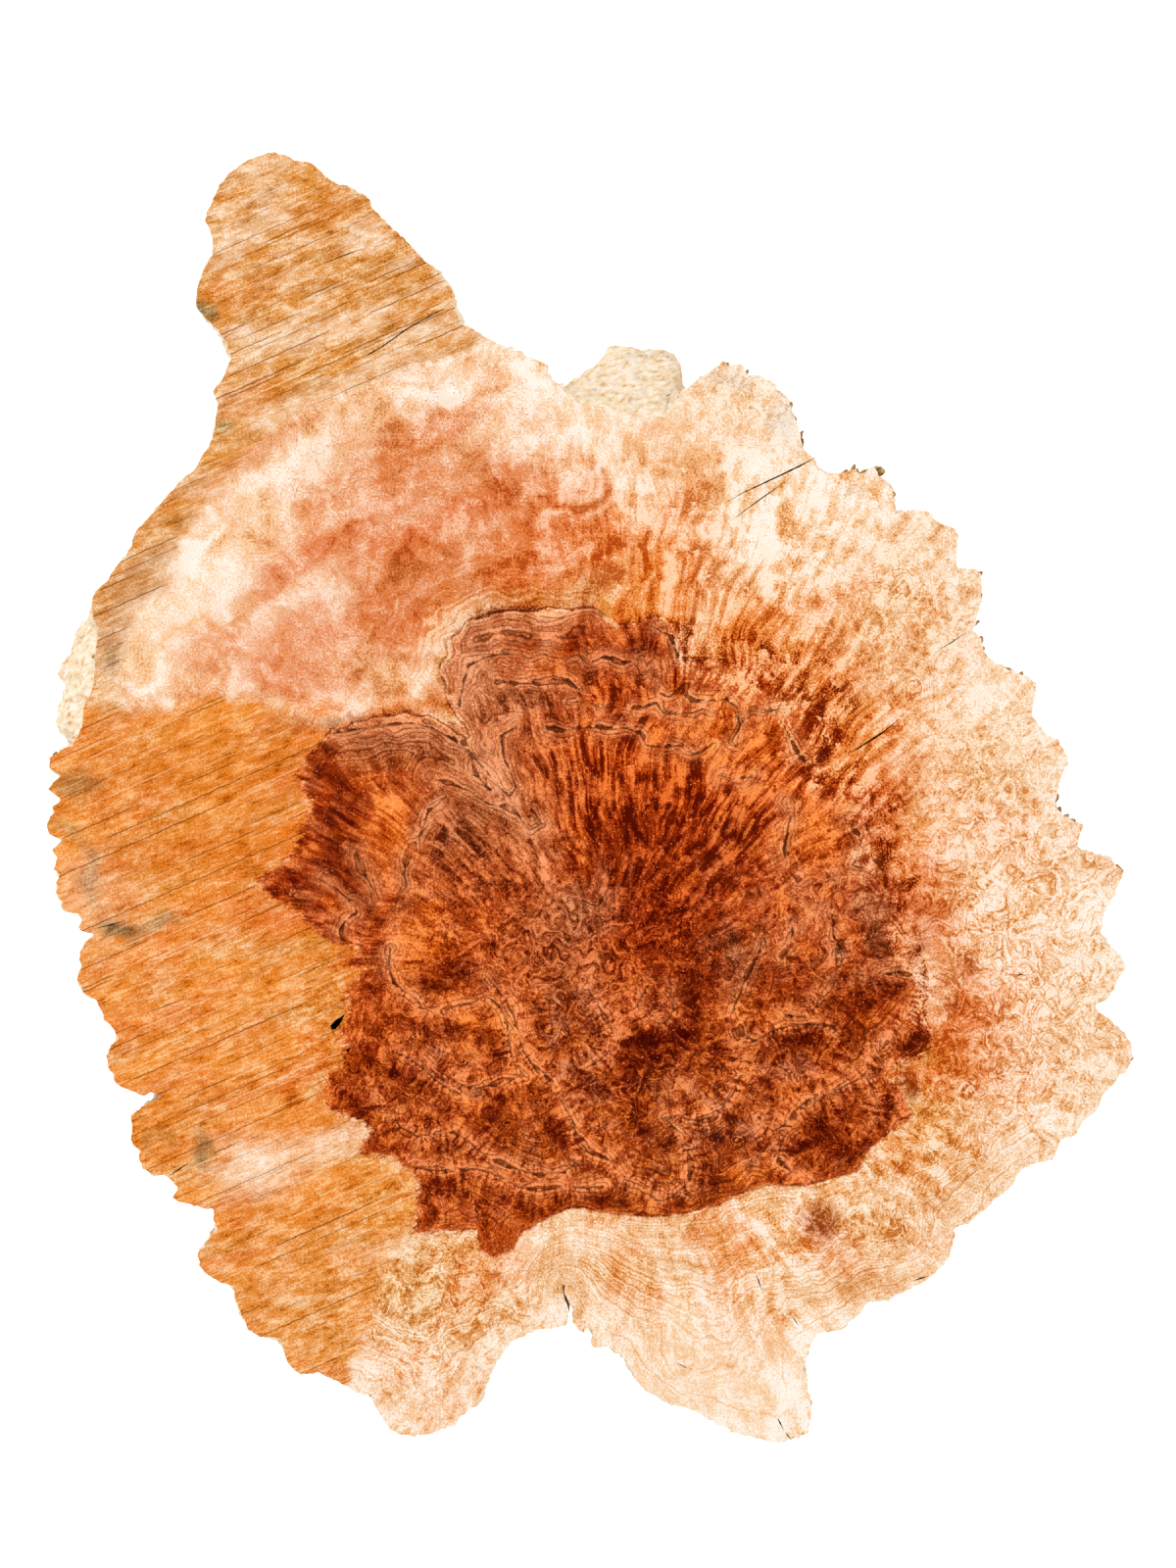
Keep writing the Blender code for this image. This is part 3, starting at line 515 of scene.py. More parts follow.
def swell(points, wavelength, seed, waves=14):
    """Smooth noise of about that wavelength, near -1 to 1, from a few random plane waves."""
    draw = np.random.default_rng(seed)
    directions = draw.normal(size=(waves, points.shape[1]))
    directions /= np.linalg.norm(directions, axis=1)[:, None]
    lengths = wavelength * draw.uniform(0.75, 1.5, waves)
    phases = draw.uniform(0, 2 * math.pi, waves)
    turns = points @ (directions * (2 * math.pi / lengths)[:, None]).T + phases
    return np.sin(turns).sum(axis=1) * math.sqrt(2 / waves) / 1.6


def rough(points, wavelength, seed, octaves=4, share=0.55):
    total = sum(share ** k * swell(points, wavelength / 2 ** k, seed + 17 * k) for k in range(octaves))
    return total / sum(share ** k for k in range(octaves))


def smoothstep(low, high, value):
    t = np.clip((value - low) / (high - low), 0, 1)
    return t * t * (3 - 2 * t)


def segments_of(loop):
    return loop, np.roll(loop, -1, axis=0)


def nearest_on(starts, ends, points):
    """The closest point on a set of segments to each point, its distance, and how far along it lies."""
    best = np.full(len(points), np.inf)
    spot = np.array(points)
    reach = np.zeros(len(points))
    before = 0.0
    for a, b in zip(starts, ends):
        along = b - a
        share = np.clip((points - a) @ along / max(along @ along, 1e-18), 0, 1)
        candidate = a + share[:, None] * along
        gap = np.einsum("ij,ij->i", points - candidate, points - candidate)
        closer = gap < best
        best[closer] = gap[closer]
        spot[closer] = candidate[closer]
        reach[closer] = before + share[closer] * np.linalg.norm(along)
        before += np.linalg.norm(along)
    return spot, np.sqrt(best), reach


def inside(loop, points):
    """Whether each point lies in a closed loop, by the even-odd rule."""
    within = np.zeros(len(points), bool)
    x, y = points[:, 0], points[:, 1]
    for (ax, ay), (bx, by) in zip(*segments_of(loop)):
        crosses = (ay > y) != (by > y)
        if by != ay:
            within ^= crosses & (x < (bx - ax) * (y - ay) / (by - ay) + ax)
    return within


def depth_in(loop, points):
    """Distance to the loop, positive inside it."""
    gap = nearest_on(*segments_of(loop), points)[1]
    return np.where(inside(loop, points), gap, -gap)


# The slab's mesh: outline and walls from the CAD node, evenly fine, with its checks cut in

def show_loops(node):
    """The loops round the node's show face, longest first."""
    rim = {}
    for edge in node.edges:
        level = all(vert.co.z > SHOW_Z - LEVEL_GAP for vert in edge.verts)
        ups = [face.normal.z > FLAT_NORMAL for face in edge.link_faces]
        if level and ups[0] != ups[1]:
            show = edge.link_faces[0] if ups[0] else edge.link_faces[1]
            corner = next(c for c in show.loops if c.edge == edge)
            rim[corner.vert] = corner.link_loop_next.vert
    loops = []
    while rim:
        vert = next(iter(rim))
        loop = []
        while vert in rim:
            loop.append((vert.co.x, vert.co.y))
            vert = rim.pop(vert)
        loops.append(np.array(loop))
    return sorted(loops, key=len, reverse=True)


def section_at(node, height):
    """The node's cut at a height, as the starts and the ends of its segments."""
    piece = node.copy()
    cut = bmesh.ops.bisect_plane(
        piece, geom=piece.verts[:] + piece.edges[:] + piece.faces[:], dist=1e-7,
        plane_co=(0, 0, height), plane_no=(0, 0, 1))
    edges = [g for g in cut["geom_cut"] if isinstance(g, bmesh.types.BMEdge)]
    ends = np.array([[e.verts[0].co.xy[:], e.verts[1].co.xy[:]] for e in edges])
    piece.free()
    return ends[:, 0], ends[:, 1]


def cad_sections():
    """The CAD node's show-face loops, and its wall section at each depth."""
    node = bmesh.new()
    node.from_mesh(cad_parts["burl_slab"].data)
    bmesh.ops.remove_doubles(node, verts=node.verts, dist=MERGE_GAP)
    loops = show_loops(node)
    sections = []
    for depth in WALL_DEPTHS[1:]:
        height = min(max(SHOW_Z * (1 - depth), 2 * LEVEL_GAP), SHOW_Z - 2 * LEVEL_GAP)
        sections.append(section_at(node, height))
    node.free()
    return loops, sections


def resampled(loop, step, closed=True):
    """The loop with its corners kept and each side split into even steps."""
    points = []
    ends = np.roll(loop, -1, axis=0) if closed else loop[1:]
    for a, b in zip(loop, ends):
        count = max(1, round(np.linalg.norm(b - a) / step))
        points += [a + (b - a) * k / count for k in range(count)]
    return np.array(points if closed else points + [loop[-1]])


def loop_normals(loop, reach=2):
    """Outward normals of a counter-clockwise loop, over a few points either side."""
    along = np.roll(loop, -reach, axis=0) - np.roll(loop, reach, axis=0)
    along /= np.linalg.norm(along, axis=1)[:, None] + 1e-12
    return np.stack([along[:, 1], -along[:, 0]], axis=1)


def edge_relief(ring, height, calm):
    """How far the live edge stands out at each point of a ring: flutes, knobs and grit."""
    flute = np.column_stack([ring, np.full(len(ring), height * 0.35)])
    solid = np.column_stack([ring, np.full(len(ring), height)])
    relief = FLUTES[0] * rough(flute, FLUTES[1], 3)
    relief += KNOBS[0] * (1 - 2 * np.abs(rough(solid, KNOBS[1], 11, 2)))
    relief += EDGE_GRIT[0] * rough(solid, EDGE_GRIT[1], 23, 2)
    return relief * calm


def wall_rings(outline, sections, crack_mouth):
    """The live edge from the show face down, as rings of the same count."""
    top = resampled(outline, RING_STEP)
    calm = smoothstep(3 * MM, 9 * MM, np.linalg.norm(top - crack_mouth, axis=1))
    grit = RIM_GRIT[0] * rough(top, RIM_GRIT[1], 41, 2) * calm
    rings = [top + loop_normals(top) * grit[:, None]]
    base = top
    for depth, (starts, ends) in zip(WALL_DEPTHS[1:], sections):
        for _ in range(RELAX_ROUNDS):
            base = nearest_on(starts, ends, base)[0]
            eased = (np.roll(base, 1, axis=0) + 2 * base + np.roll(base, -1, axis=0)) / 4
            base = base + (eased - base) * calm[:, None]
        height = SHOW_Z * (1 - depth)
        relief = edge_relief(base, height, calm) * min(1, depth * RELIEF_ONSET)
        if depth == 1.0:
            relief = np.minimum(relief, 0)
        relief = np.minimum(relief, MOST_RELIEF)
        rings.append(base + loop_normals(base, 3) * (relief + grit * (1 - depth))[:, None])
    return rings


def hex_points(low, high, step, seed):
    """A lightly shaken hexagonal grid of points over a box."""
    draw = np.random.default_rng(seed)
    rows = int((high[1] - low[1]) / (step * HEX_ROW)) + 1
    columns = int((high[0] - low[0]) / step) + 1
    grid_x, grid_y = np.meshgrid(np.arange(columns) * step, np.arange(rows) * step * HEX_ROW)
    grid_x = grid_x + (np.arange(rows) % 2 * step / 2)[:, None]
    points = np.column_stack([grid_x.ravel() + low[0], grid_y.ravel() + low[1]])
    return points + draw.uniform(-HEX_SHAKE, HEX_SHAKE, points.shape) * step


def clear_points(loops, inner):
    """The inner points that lie on the sheet and not too near its loops."""
    near = KDTree(sum(len(loop) for loop in loops))
    gaps = np.concatenate([np.linalg.norm(np.roll(loop, -1, axis=0) - loop, axis=1) for loop in loops])
    for i, (x, y) in enumerate(np.concatenate(loops)):
        near.insert((x, y, 0), i)
    near.balance()
    kept = inside(loops[0], inner)
    for hole in loops[1:]:
        kept &= ~inside(hole, inner)
    inner = inner[kept]
    found = [near.find((x, y, 0))[1:] for x, y in inner]
    return inner[np.array([gap > gaps[i] * RIM_CLEARANCE for i, gap in found], dtype=bool)]


def filled(loops, inner):
    """Triangles between an outer loop and holes, through inner points. The loops' points come first."""
    edges = []
    first = 0
    for loop in loops:
        edges += [(first + i, first + (i + 1) % len(loop)) for i in range(len(loop))]
        first += len(loop)
    points = np.concatenate(list(loops) + [clear_points(loops, inner)])
    spots = [Vector(p) for p in points]
    placed, _, faces, origin, _, _ = delaunay_2d_cdt(spots, edges, [], 2, 1e-9)
    index = np.zeros(len(points), int)
    for new, olds in enumerate(origin):
        index[olds] = new
    placed = np.array([p[:] for p in placed])
    middles = placed[np.array(faces)].mean(axis=1)
    solid = np.ones(len(faces), bool)
    for hole in loops[1:]:
        solid &= ~inside(hole, middles)
    return placed, [face for face, kept in zip(faces, solid) if kept], index[:first]


def show_face_points(low, high):
    """Points close together in the heart and the burled wood, and further apart in calm wood."""
    fine = hex_points(low, high, FIGURED_STEP, 1)
    coarse = hex_points(low, high, CALM_STEP, 2)

    def figured(points):
        lively = np.maximum(spots_share(points, CURL_SPOTS), spots_share(points, EYE_SPOTS))
        return (depth_in(outline_at(HEART), points) > -FIGURED_MARGIN) | (lively > LIVELY)

    return np.concatenate([fine[figured(fine)], coarse[~figured(coarse)]])


def check_loop(line):
    """A thin pointed opening along a line of (px, py, width), and the shape of its floor."""
    bends = np.array(line, float)
    bends = np.column_stack([outline_at(bends[:, :2]), bends[:, 2] * MM])
    middle = resampled(bends, CHECK_STEP, closed=False)
    spine = middle[:, :2]
    widths = middle[:, 2] / 2 * (1 + 0.3 * rough(spine, 2 * MM, 3, 2))
    along = np.gradient(spine, axis=0)
    along /= np.linalg.norm(along, axis=1)[:, None]
    aside = np.column_stack([-along[:, 1], along[:, 0]]) * widths[:, None]
    aside[[0, -1]] = 0
    loop = np.concatenate([spine + aside, (spine - aside)[-2:0:-1]])
    spines = np.concatenate([spine, spine[-2:0:-1]])
    return loop, spines + (loop - spines) * CHECK_TAPER


class Shell:
    """Gathers a closed mesh's points and faces, with a material slot for each face."""

    def __init__(self):
        self.points = []
        self.faces = []
        self.slots = []
        self.count = 0

    def add_points(self, flat, height):
        self.points.append(np.column_stack([flat, np.full(len(flat), height)]))
        self.count += len(flat)
        return np.arange(self.count - len(flat), self.count)

    def add_faces(self, faces, slot):
        self.faces += faces
        self.slots += [slot] * len(faces)

    def add_sheet(self, loops, inner, height, slot, facing_up=True):
        """Fills a flat sheet and returns the numbers of each loop's points."""
        flat, faces, rims = filled(loops, inner)
        first = int(self.add_points(flat, height)[0])
        turn = 1 if facing_up else -1
        self.add_faces([[first + i for i in face[::turn]] for face in faces], slot)
        starts = np.cumsum([0] + [len(loop) for loop in loops])
        return [first + rims[a:b] for a, b in zip(starts, starts[1:])]

    def add_band(self, upper, lower, slot):
        corners = np.column_stack([upper, lower, np.roll(lower, -1), np.roll(upper, -1)])
        self.add_faces([list(dict.fromkeys(face)) for face in corners.tolist()], slot)

    def make(self, name, materials):
        mesh = bpy.data.meshes.new(name)
        mesh.from_pydata(np.concatenate(self.points).tolist(), [], self.faces)
        for material in materials:
            mesh.materials.append(material)
        mesh.polygons.foreach_set("material_index", self.slots)
        mesh.shade_smooth()
        mesh.set_sharp_from_angle(angle=math.radians(SHARP_ANGLE))
        made = bpy.data.objects.new(name, mesh)
        bpy.context.scene.collection.objects.link(made)
        print(name, self.count, "points,", sum(len(face) - 2 for face in self.faces), "triangles")
        return made


def counter_clockwise(loop):
    x, y = loop.T
    return loop if np.sum(x * np.roll(y, -1) - y * np.roll(x, -1)) > 0 else loop[::-1]


def openings(pockets):
    """Every check and bark pocket, as its mouth, its floor and its depth."""
    holes = [(*check_loop(line), depth * MM) for line, depth in CHECKS]
    for pocket in pockets:
        pocket = counter_clockwise(resampled(pocket, CHECK_STEP))
        grit = POCKET_GRIT[0] * rough(pocket, POCKET_GRIT[1], 9, 2)
        pocket = pocket + loop_normals(pocket) * grit[:, None]
        middle = pocket.mean(0)
        holes.append((pocket, middle + (pocket - middle) * POCKET_TAPER, POCKET_DEPTH))
    return holes


def build_slab():
    """The whole blank: show face with its checks and pockets, live edge and underside."""
    loops, sections = cad_sections()
    rings = wall_rings(loops[0], sections, np.array(at(*CRACK_MOUTH)))
    holes = openings(loops[1:])
    shell = Shell()
    inner = show_face_points(rings[0].min(0), rings[0].max(0))
    rims = shell.add_sheet([rings[0]] + [hole[0] for hole in holes], inner, SHOW_Z, SAWN)
    upper = rims[0]
    for depth, ring in zip(WALL_DEPTHS[1:-1], rings[1:-1]):
        lower = shell.add_points(ring, SHOW_Z * (1 - depth))
        shell.add_band(upper, lower, LIVE_EDGE)
        upper = lower
    inner = hex_points(rings[-1].min(0), rings[-1].max(0), UNDER_STEP, 3)
    lower = shell.add_sheet([rings[-1]], inner, 0, SAWN, facing_up=False)[0]
    shell.add_band(upper, lower, LIVE_EDGE)
    no_points = np.zeros((0, 2))
    for rim, (loop, floor, depth) in zip(rims[1:], holes):
        if counter_clockwise(loop) is loop:
            rim, floor = rim[::-1], floor[::-1]
        bottom = shell.add_sheet([floor], no_points, SHOW_Z - depth, OPENING)[0]
        shell.add_band(rim, bottom, OPENING)
    slab = shell.make("burl_blank", (figure_wood(), live_edge_wood(), dark_bark_and_painted_shade()))
    paint_fields(slab, rings[0][::3])
    return slab, rings[0]


def plain(name, colour, roughness):
    material = bpy.data.materials.new(name)
    material.use_nodes = True
    shader = material.node_tree.nodes["Principled BSDF"]
    shader.inputs["Base Color"].default_value = (*colour, 1)
    shader.inputs["Roughness"].default_value = roughness
    shader.inputs["Specular IOR Level"].default_value = 0.0
    return material


# The figure's fields on the slab's points

def linear(hex_colour):
    """A colour as it looks, turned into the wood's own reflectance under the studio light."""
    seen = np.array([int(hex_colour[i:i + 2], 16) for i in (0, 2, 4)]) / 255
    return np.where(seen < 0.04045, seen / 12.92, ((seen + 0.055) / 1.055) ** 2.4) / LIT


def blend_tone(tones, name, share):
    """Moves every point's three colours towards a palette, by its share."""
    target = np.array([linear(colour) for colour in PALETTES[name]])
    return tones + (target - tones) * share[:, None, None]


def spot_share(points, px, py, half_length, half_width, tilt=0):
    """1 in a soft oval's middle, falling to nothing past its edge."""
    turn = math.radians(tilt)
    offset = points - np.array(at(px, py))
    along = offset @ np.array([math.cos(turn), math.sin(turn)]) / (half_length * PIXEL)
    across = offset @ np.array([-math.sin(turn), math.cos(turn)]) / (half_width * PIXEL)
    return np.exp(-0.8 * (along ** 2 + across ** 2) ** 1.4)


def spots_share(points, spots):
    """The strongest of several soft ovals at each point."""
    total = np.zeros(len(points))
    for px, py, half_length, half_width, tilt, strength in spots:
        total = np.maximum(total, strength * spot_share(points, px, py, half_length, half_width, tilt))
    return total


def drifted(points, size, wavelength, seed, octaves=2):
    """The points pushed about by smooth noise."""
    return points + size * np.column_stack([
        rough(points, wavelength, seed, octaves), rough(points, wavelength, seed + 7, octaves)])


def grained(points, degrees, stretch):
    """Points turned to lie along a grain direction and drawn in along it, so noise runs with it."""
    turn = math.radians(degrees)
    along = points @ np.array([math.cos(turn), math.sin(turn)])
    across = points @ np.array([-math.sin(turn), math.cos(turn)])
    return np.column_stack([along * stretch, across])


def fan_place(points):
    """Points by their heading from the fan's centre and their reach, so noise runs outwards."""
    offset = drifted(points, 2.4 * MM, 14 * MM, 101, 3) - np.array(at(*STREAK_CENTRE))
    reach = np.linalg.norm(offset, axis=1)[:, None] + 1e-6
    return np.column_stack([offset / reach * 70 * MM, reach * 0.32])


def south_share(points):
    """1 in the heart's lobed lower part, 0 in its fan."""
    return smoothstep(at(0, 960)[1], at(0, 1050)[1], points[:, 1])


def plain_tones(points, palette):
    return blend_tone(np.zeros((len(points), 3, 3)), palette, np.ones(len(points)))


def region_tones(points, edge_gap):
    """The outer wood's colours by region, each region's share, and how near the heart is."""
    ragged = rough(points, 7 * MM, 5, 4)
    outer = plain_tones(points, "sap")
    shares = {"sap": np.ones(len(points))}
    for region, palette, border, raggedness in REGIONS:
        depth = depth_in(outline_at(region), points)
        share = smoothstep(-border * MM / 2, border * MM / 2, depth + ragged * raggedness * MM)
        outer = blend_tone(outer, palette, share)
        for name in shares:
            shares[name] = shares[name] * (1 - share)
        shares[palette] = share
    shares["depth"] = depth
    near_heart = smoothstep(at(0, 1170)[1], at(0, 1090)[1], points[:, 1])
    near_heart = near_heart * smoothstep(-18 * MM, -3 * MM, depth)
    shares["far sap"] = shares["sap"] * (1 - near_heart)
    outer = blend_tone(outer, "orange sap", 0.9 * near_heart)
    outer = blend_tone(outer, "cream", smoothstep(12 * MM, 2 * MM, edge_gap) * shares["sap"])
    return outer, shares, near_heart


def add_clouds(points, shaken, outer, heart, shares):
    """Soft clouds of other colours, which run with the grain of each region."""
    fan = fan_place(points)
    grain = {"sap": fan, "far sap": fan, "red heart": shaken, "peach": grained(shaken, 28, 0.5),
             "left sawn": grained(points, GRAIN_HEADING, 0.4), "horn": grained(points, GRAIN_HEADING, 0.35)}
    south = south_share(points)
    for number, (region, palette, size, strength) in enumerate(CLOUDS):
        cloud = rough(grain[region], size * MM, 211 + 5 * number, 4, 0.6)
        cloud = strength * smoothstep(-0.2, 0.8, cloud)
        if region == "red heart":
            heart = blend_tone(heart, palette, cloud * (1 - 0.5 * south))
        else:
            outer = blend_tone(outer, palette, cloud * shares[region])
    return outer, heart


def add_spots(tones, spots, shaken, weight):
    """The listed spots of colour, and how much lighter or darker they leave the wood."""
    shade = np.zeros(len(shaken))
    for palette, *spot, strength in spots:
        share = weight * strength * spot_share(shaken, *spot)
        tones = blend_tone(tones, palette, share)
        shade += SHADES.get(palette, 0) * share
    return tones, shade


def add_lobes(points, heart, shares, gap, near_line):
    """Blots in the heart's lobes, dark caps and pale skirts along their lines, and the fan's veils."""
    south = south_share(points)
    well_in = smoothstep(0, 1 * MM, shares["depth"])
    blots = rough(drifted(points, 3 * MM, 9 * MM, 171, 3), 8 * MM, 173, 4, 0.6)
    heart = blend_tone(heart, "orange heart", 0.7 * smoothstep(-0.15, 0.15, blots) * south)
    heart = blend_tone(heart, "dark heart", 0.7 * smoothstep(0.05, 0.4, blots) * south)
    patchy = smoothstep(-0.8, 0.2, rough(points, 9 * MM, 161, 2))
    cap = np.where(gap > 0, np.exp(-((gap - 5.5 * MM) / (4 * MM)) ** 2), 0) * patchy
    skirt = np.exp(-((gap + 0.8 * MM) / (2.3 * MM)) ** 2)
    shares["caps"] = south * cap * well_in
    shares["skirts"] = south * skirt * well_in
    heart = blend_tone(heart, "dark heart", 0.55 * south * cap)
    heart = blend_tone(heart, "pink heart", 0.55 * south * skirt)
    return blend_tone(heart, "pale veil", 0.5 * (1 - south) * near_line)


def tone_fields(points, edge_gap, gap, near_line):
    """Colours of the outer wood and of the heart at each point, and its share of each region."""
    outer, shares, near_heart = region_tones(points, edge_gap)
    shaken = drifted(points, 2.6 * MM, 14 * MM, 71, 3)
    outer, heart = add_clouds(points, shaken, outer, plain_tones(points, "red heart"), shares)
    outer, outer_shade = add_spots(outer, OUTER_SPOTS, shaken, 0.85)
    heart, heart_shade = add_spots(heart, HEART_SPOTS, shaken, 1.0)
    far = smoothstep(-12 * MM, -28 * MM, shares["depth"]) * shares["sap"]
    outer = blend_tone(outer, "cream", 0.25 * far)
    outer_shade = outer_shade + 0.5 * far - 0.6 * near_heart
    shares["shade"] = np.where(shares["depth"] > 0, heart_shade, outer_shade)
    return outer, add_lobes(points, heart, shares, gap, near_line), shares


def billows(points, shares):
    """Wisps of light and shade, which run with the grain of each region."""
    from_centre = np.linalg.norm(points - np.array(at(*STREAK_CENTRE)), axis=1)
    fan = rough(fan_place(points), 6 * MM, 131, 4, 0.7) * smoothstep(6 * MM, 26 * MM, from_centre)
    curled = drifted(drifted(points, 3.5 * MM, 9 * MM, 137), 1.6 * MM, 4 * MM, 139)
    curled = rough(curled, 7 * MM, 141, 4, 0.7)
    peach = rough(grained(drifted(points, 6 * MM, 16 * MM, 143, 3), 30, 0.28), 9 * MM, 145, 4, 0.5)
    marks = rough(grained(drifted(points, 1 * MM, 9 * MM, 147), 20, 0.3), 4 * MM, 149, 3, 0.7)
    sawn = shares["left sawn"] + shares["horn"]
    wisps = 0.6 * fan + 0.5 * curled
    wisps = wisps - 0.4 * shares["caps"] + 0.45 * shares["skirts"]
    wisps = wisps + (1.0 * peach + 0.1 * curled - wisps) * shares["peach"]
    wisps = wisps + (0.55 * marks + 0.2 * curled - wisps) * np.clip(sawn, 0, 1)
    return wisps + 0.35 * shares["shade"]


def all_eyes():
    """The marked eyes, and small ones drawn at random where the wood is burled."""
    draw = np.random.default_rng(11)
    eyes = [(px, py, radius, 0.8 * dark, MARKED_SPREAD) for px, py, radius, dark in EYES]
    for px, py, half_length, half_width, _, strength in EYE_SPOTS:
        for _ in range(int(half_length * half_width * strength / EYE_ROOM)):
            along, across = draw.normal(0, 0.5, 2)
            spot = (px + along * half_length, py + across * half_width)
            radius = draw.uniform(*SMALL_RADII)
            if all(math.hypot(spot[0] - e[0], spot[1] - e[1]) > (radius + e[2]) * 0.85 for e in eyes):
                eyes.append((*spot, radius, draw.uniform(0.3, 0.8), SMALL_SPREAD))
    return eyes


def edge_gaps(points, edge):
    near_edge = KDTree(len(edge))
    for i, (x, y) in enumerate(edge):
        near_edge.insert((x, y, 0), i)
    near_edge.balance()
    return np.array([near_edge.find((x, y, 0))[2] for x, y in points])


def growth_fields(points, heart_depth, line_gap, edge_gap):
    """Growth in millimetres, whose level lines are the rings, and its hills and their dark cores."""
    outside = np.maximum(-heart_depth, 0)
    within = np.minimum(heart_depth, np.abs(line_gap))
    growth = np.where(heart_depth > 0, within, -SAP_GROWTH * outside / (outside + edge_gap + 1e-6)) / MM
    growth = growth + 1.1 * rough(points, 13 * MM, 21, 2) + 0.25 * rough(points, 4 * MM, 23, 2)
    wobble = drifted(points, 0.9 * MM, 4.5 * MM, 61)
    hills = np.zeros(len(points))
    cores = np.zeros(len(points))
    for px, py, radius, dark, spread in all_eyes():
        away = np.linalg.norm(wobble - np.array(at(px, py)), axis=1) / (radius * PIXEL)
        lift = np.exp(-1.3 * away ** 2)
        growth += 1.7 * radius * PIXEL / MM * lift
        hills = np.maximum(hills, lift)
        cores = np.maximum(cores, dark * smoothstep(spread, 0.3 * spread, away))
    for px, py, half_length, half_width, tilt, strength in HILLS:
        lift = strength * spot_share(wobble, px, py, half_length, half_width, tilt)
        growth += 1.1 * half_width * PIXEL / MM * lift
        hills = np.maximum(hills, 0.35 * lift)
    return growth, hills, cores


def line_fields(points):
    """Distance past the nearest growth line, seen from the fan's centre, its strength, and the way
    along it."""
    ends = [(a, b) for line in GROWTH_LINES for a, b in zip(outline_at(line), outline_at(line)[1:])]
    nearest, gap, reach = nearest_on([a for a, b in ends], [b for a, b in ends], points)
    centre = np.array(at(*FAN_CENTRE))
    beyond = np.linalg.norm(points - centre, axis=1) > np.linalg.norm(nearest - centre, axis=1)
    return np.where(beyond, gap, -gap), 1 - smoothstep(1.0 * MM, 1.8 * MM, gap), reach


def store(mesh, name, values):
    """Keeps three values for each point, under a name."""
    layer = mesh.attributes.new(name, "FLOAT_VECTOR", "POINT")
    layer.data.foreach_set("vector", np.column_stack(values).astype(np.float32).ravel())


def store_colour(mesh, name, colours):
    layer = mesh.attributes.new(name, "FLOAT_COLOR", "POINT")
    opaque_colours = np.column_stack([colours, np.ones(len(colours))])
    layer.data.foreach_set("color", opaque_colours.astype(np.float32).ravel())


def paint_fields(slab, edge):
    """Writes the figure's fields onto the slab's points, for its materials to read."""
    mesh = slab.data
    places = np.zeros(len(mesh.vertices) * 3)
    mesh.vertices.foreach_get("co", places)
    places = places.reshape(-1, 3)
    points = places[:, :2]
    nothing = np.zeros(len(points))
    edge_gap = edge_gaps(points, edge)
    gap, strength, reach = line_fields(points)
    near_line = np.exp(-(gap / (3.4 * MM)) ** 2) * smoothstep(-1.0, 0.2, rough(points, 11 * MM, 151, 2))
    outer, heart, shares = tone_fields(points, edge_gap, gap, near_line)
    heart_depth = shares["depth"]
    for name, tones in (("outer", outer), ("heart", heart)):
        for k, level in enumerate(("pale", "ground", "fleck")):
            store_colour(mesh, name + "_" + level, tones[:, k])
    growth, hills, cores = growth_fields(points, heart_depth, gap, edge_gap)
    store(mesh, "growth", [growth, heart_depth / MM, nothing])
    store(mesh, "lines", [gap / MM, strength, 0.35 + spots_share(points, SOFT_SPOTS)])
    sawn = np.clip(shares["left sawn"] + shares["horn"], 0, 1)
    sawn[places[:, 2] < 0.5 * MM] = UNDERSIDE_SAWN
    banded = spots_share(points, BAND_SPOTS)
    bands = np.where(heart_depth > 0, np.maximum(0.9 * banded, near_line), banded)
    bands = np.maximum(bands, 0.8 * hills * (1 - sawn))
    curl = spots_share(points, CURL_SPOTS) * (1 - 0.55 * np.where(heart_depth > 0, bands, 0))
    store(mesh, "kinds", [sawn, curl, bands * (1 - sawn)])
    lobed = np.where(heart_depth > 0, south_share(points), 0)
    fan = (1 - sawn) * (1 - 0.9 * curl) * (1 - 0.75 * banded) * (1 - 0.6 * near_line) * (1 - 0.8 * lobed)
    fan = fan * (1 - 0.6 * shares["peach"] * smoothstep(at(600, 0)[0], at(480, 0)[0], points[:, 0]))
    store(mesh, "tones", [billows(points, shares), fan, cores])
    calm = spots_share(points, CALM_SPOTS)
    store(mesh, "wear", [spots_share(points, PIT_SPOTS), 1 - calm, spots_share(points, TORN_SPOTS)])
    store(mesh, "stream", [drifted(points, 2.2 * MM, 30 * MM, 31, 2), nothing])
    swirl = drifted(drifted(points, 4.2 * MM, 11 * MM, 43, 2), 1.8 * MM, 4.5 * MM, 47, 2)
    store(mesh, "swirl", [swirl, nothing])
    apron = spots_share(points, APRON_SPOTS)
    store(mesh, "patches", [apron, rough(points, 8 * MM, 83, 3), rough(points, 6 * MM, 87, 3)])
    flame = lobed * np.exp(-np.abs(gap) / FLAME_REACH)
    store(mesh, "flames", [reach / MM, gap / MM, flame])


def add_node(tree, kind, inputs, **settings):
    """A node with its settings made, and each input set to a value or joined to an output."""
    made = tree.nodes.new(kind)
    for key, value in settings.items():
        setattr(made, key, value)
    for key, value in inputs.items():
        if isinstance(value, bpy.types.NodeSocket):
            tree.links.new(value, made.inputs[key])
        else:
            made.inputs[key].default_value = value
    return made


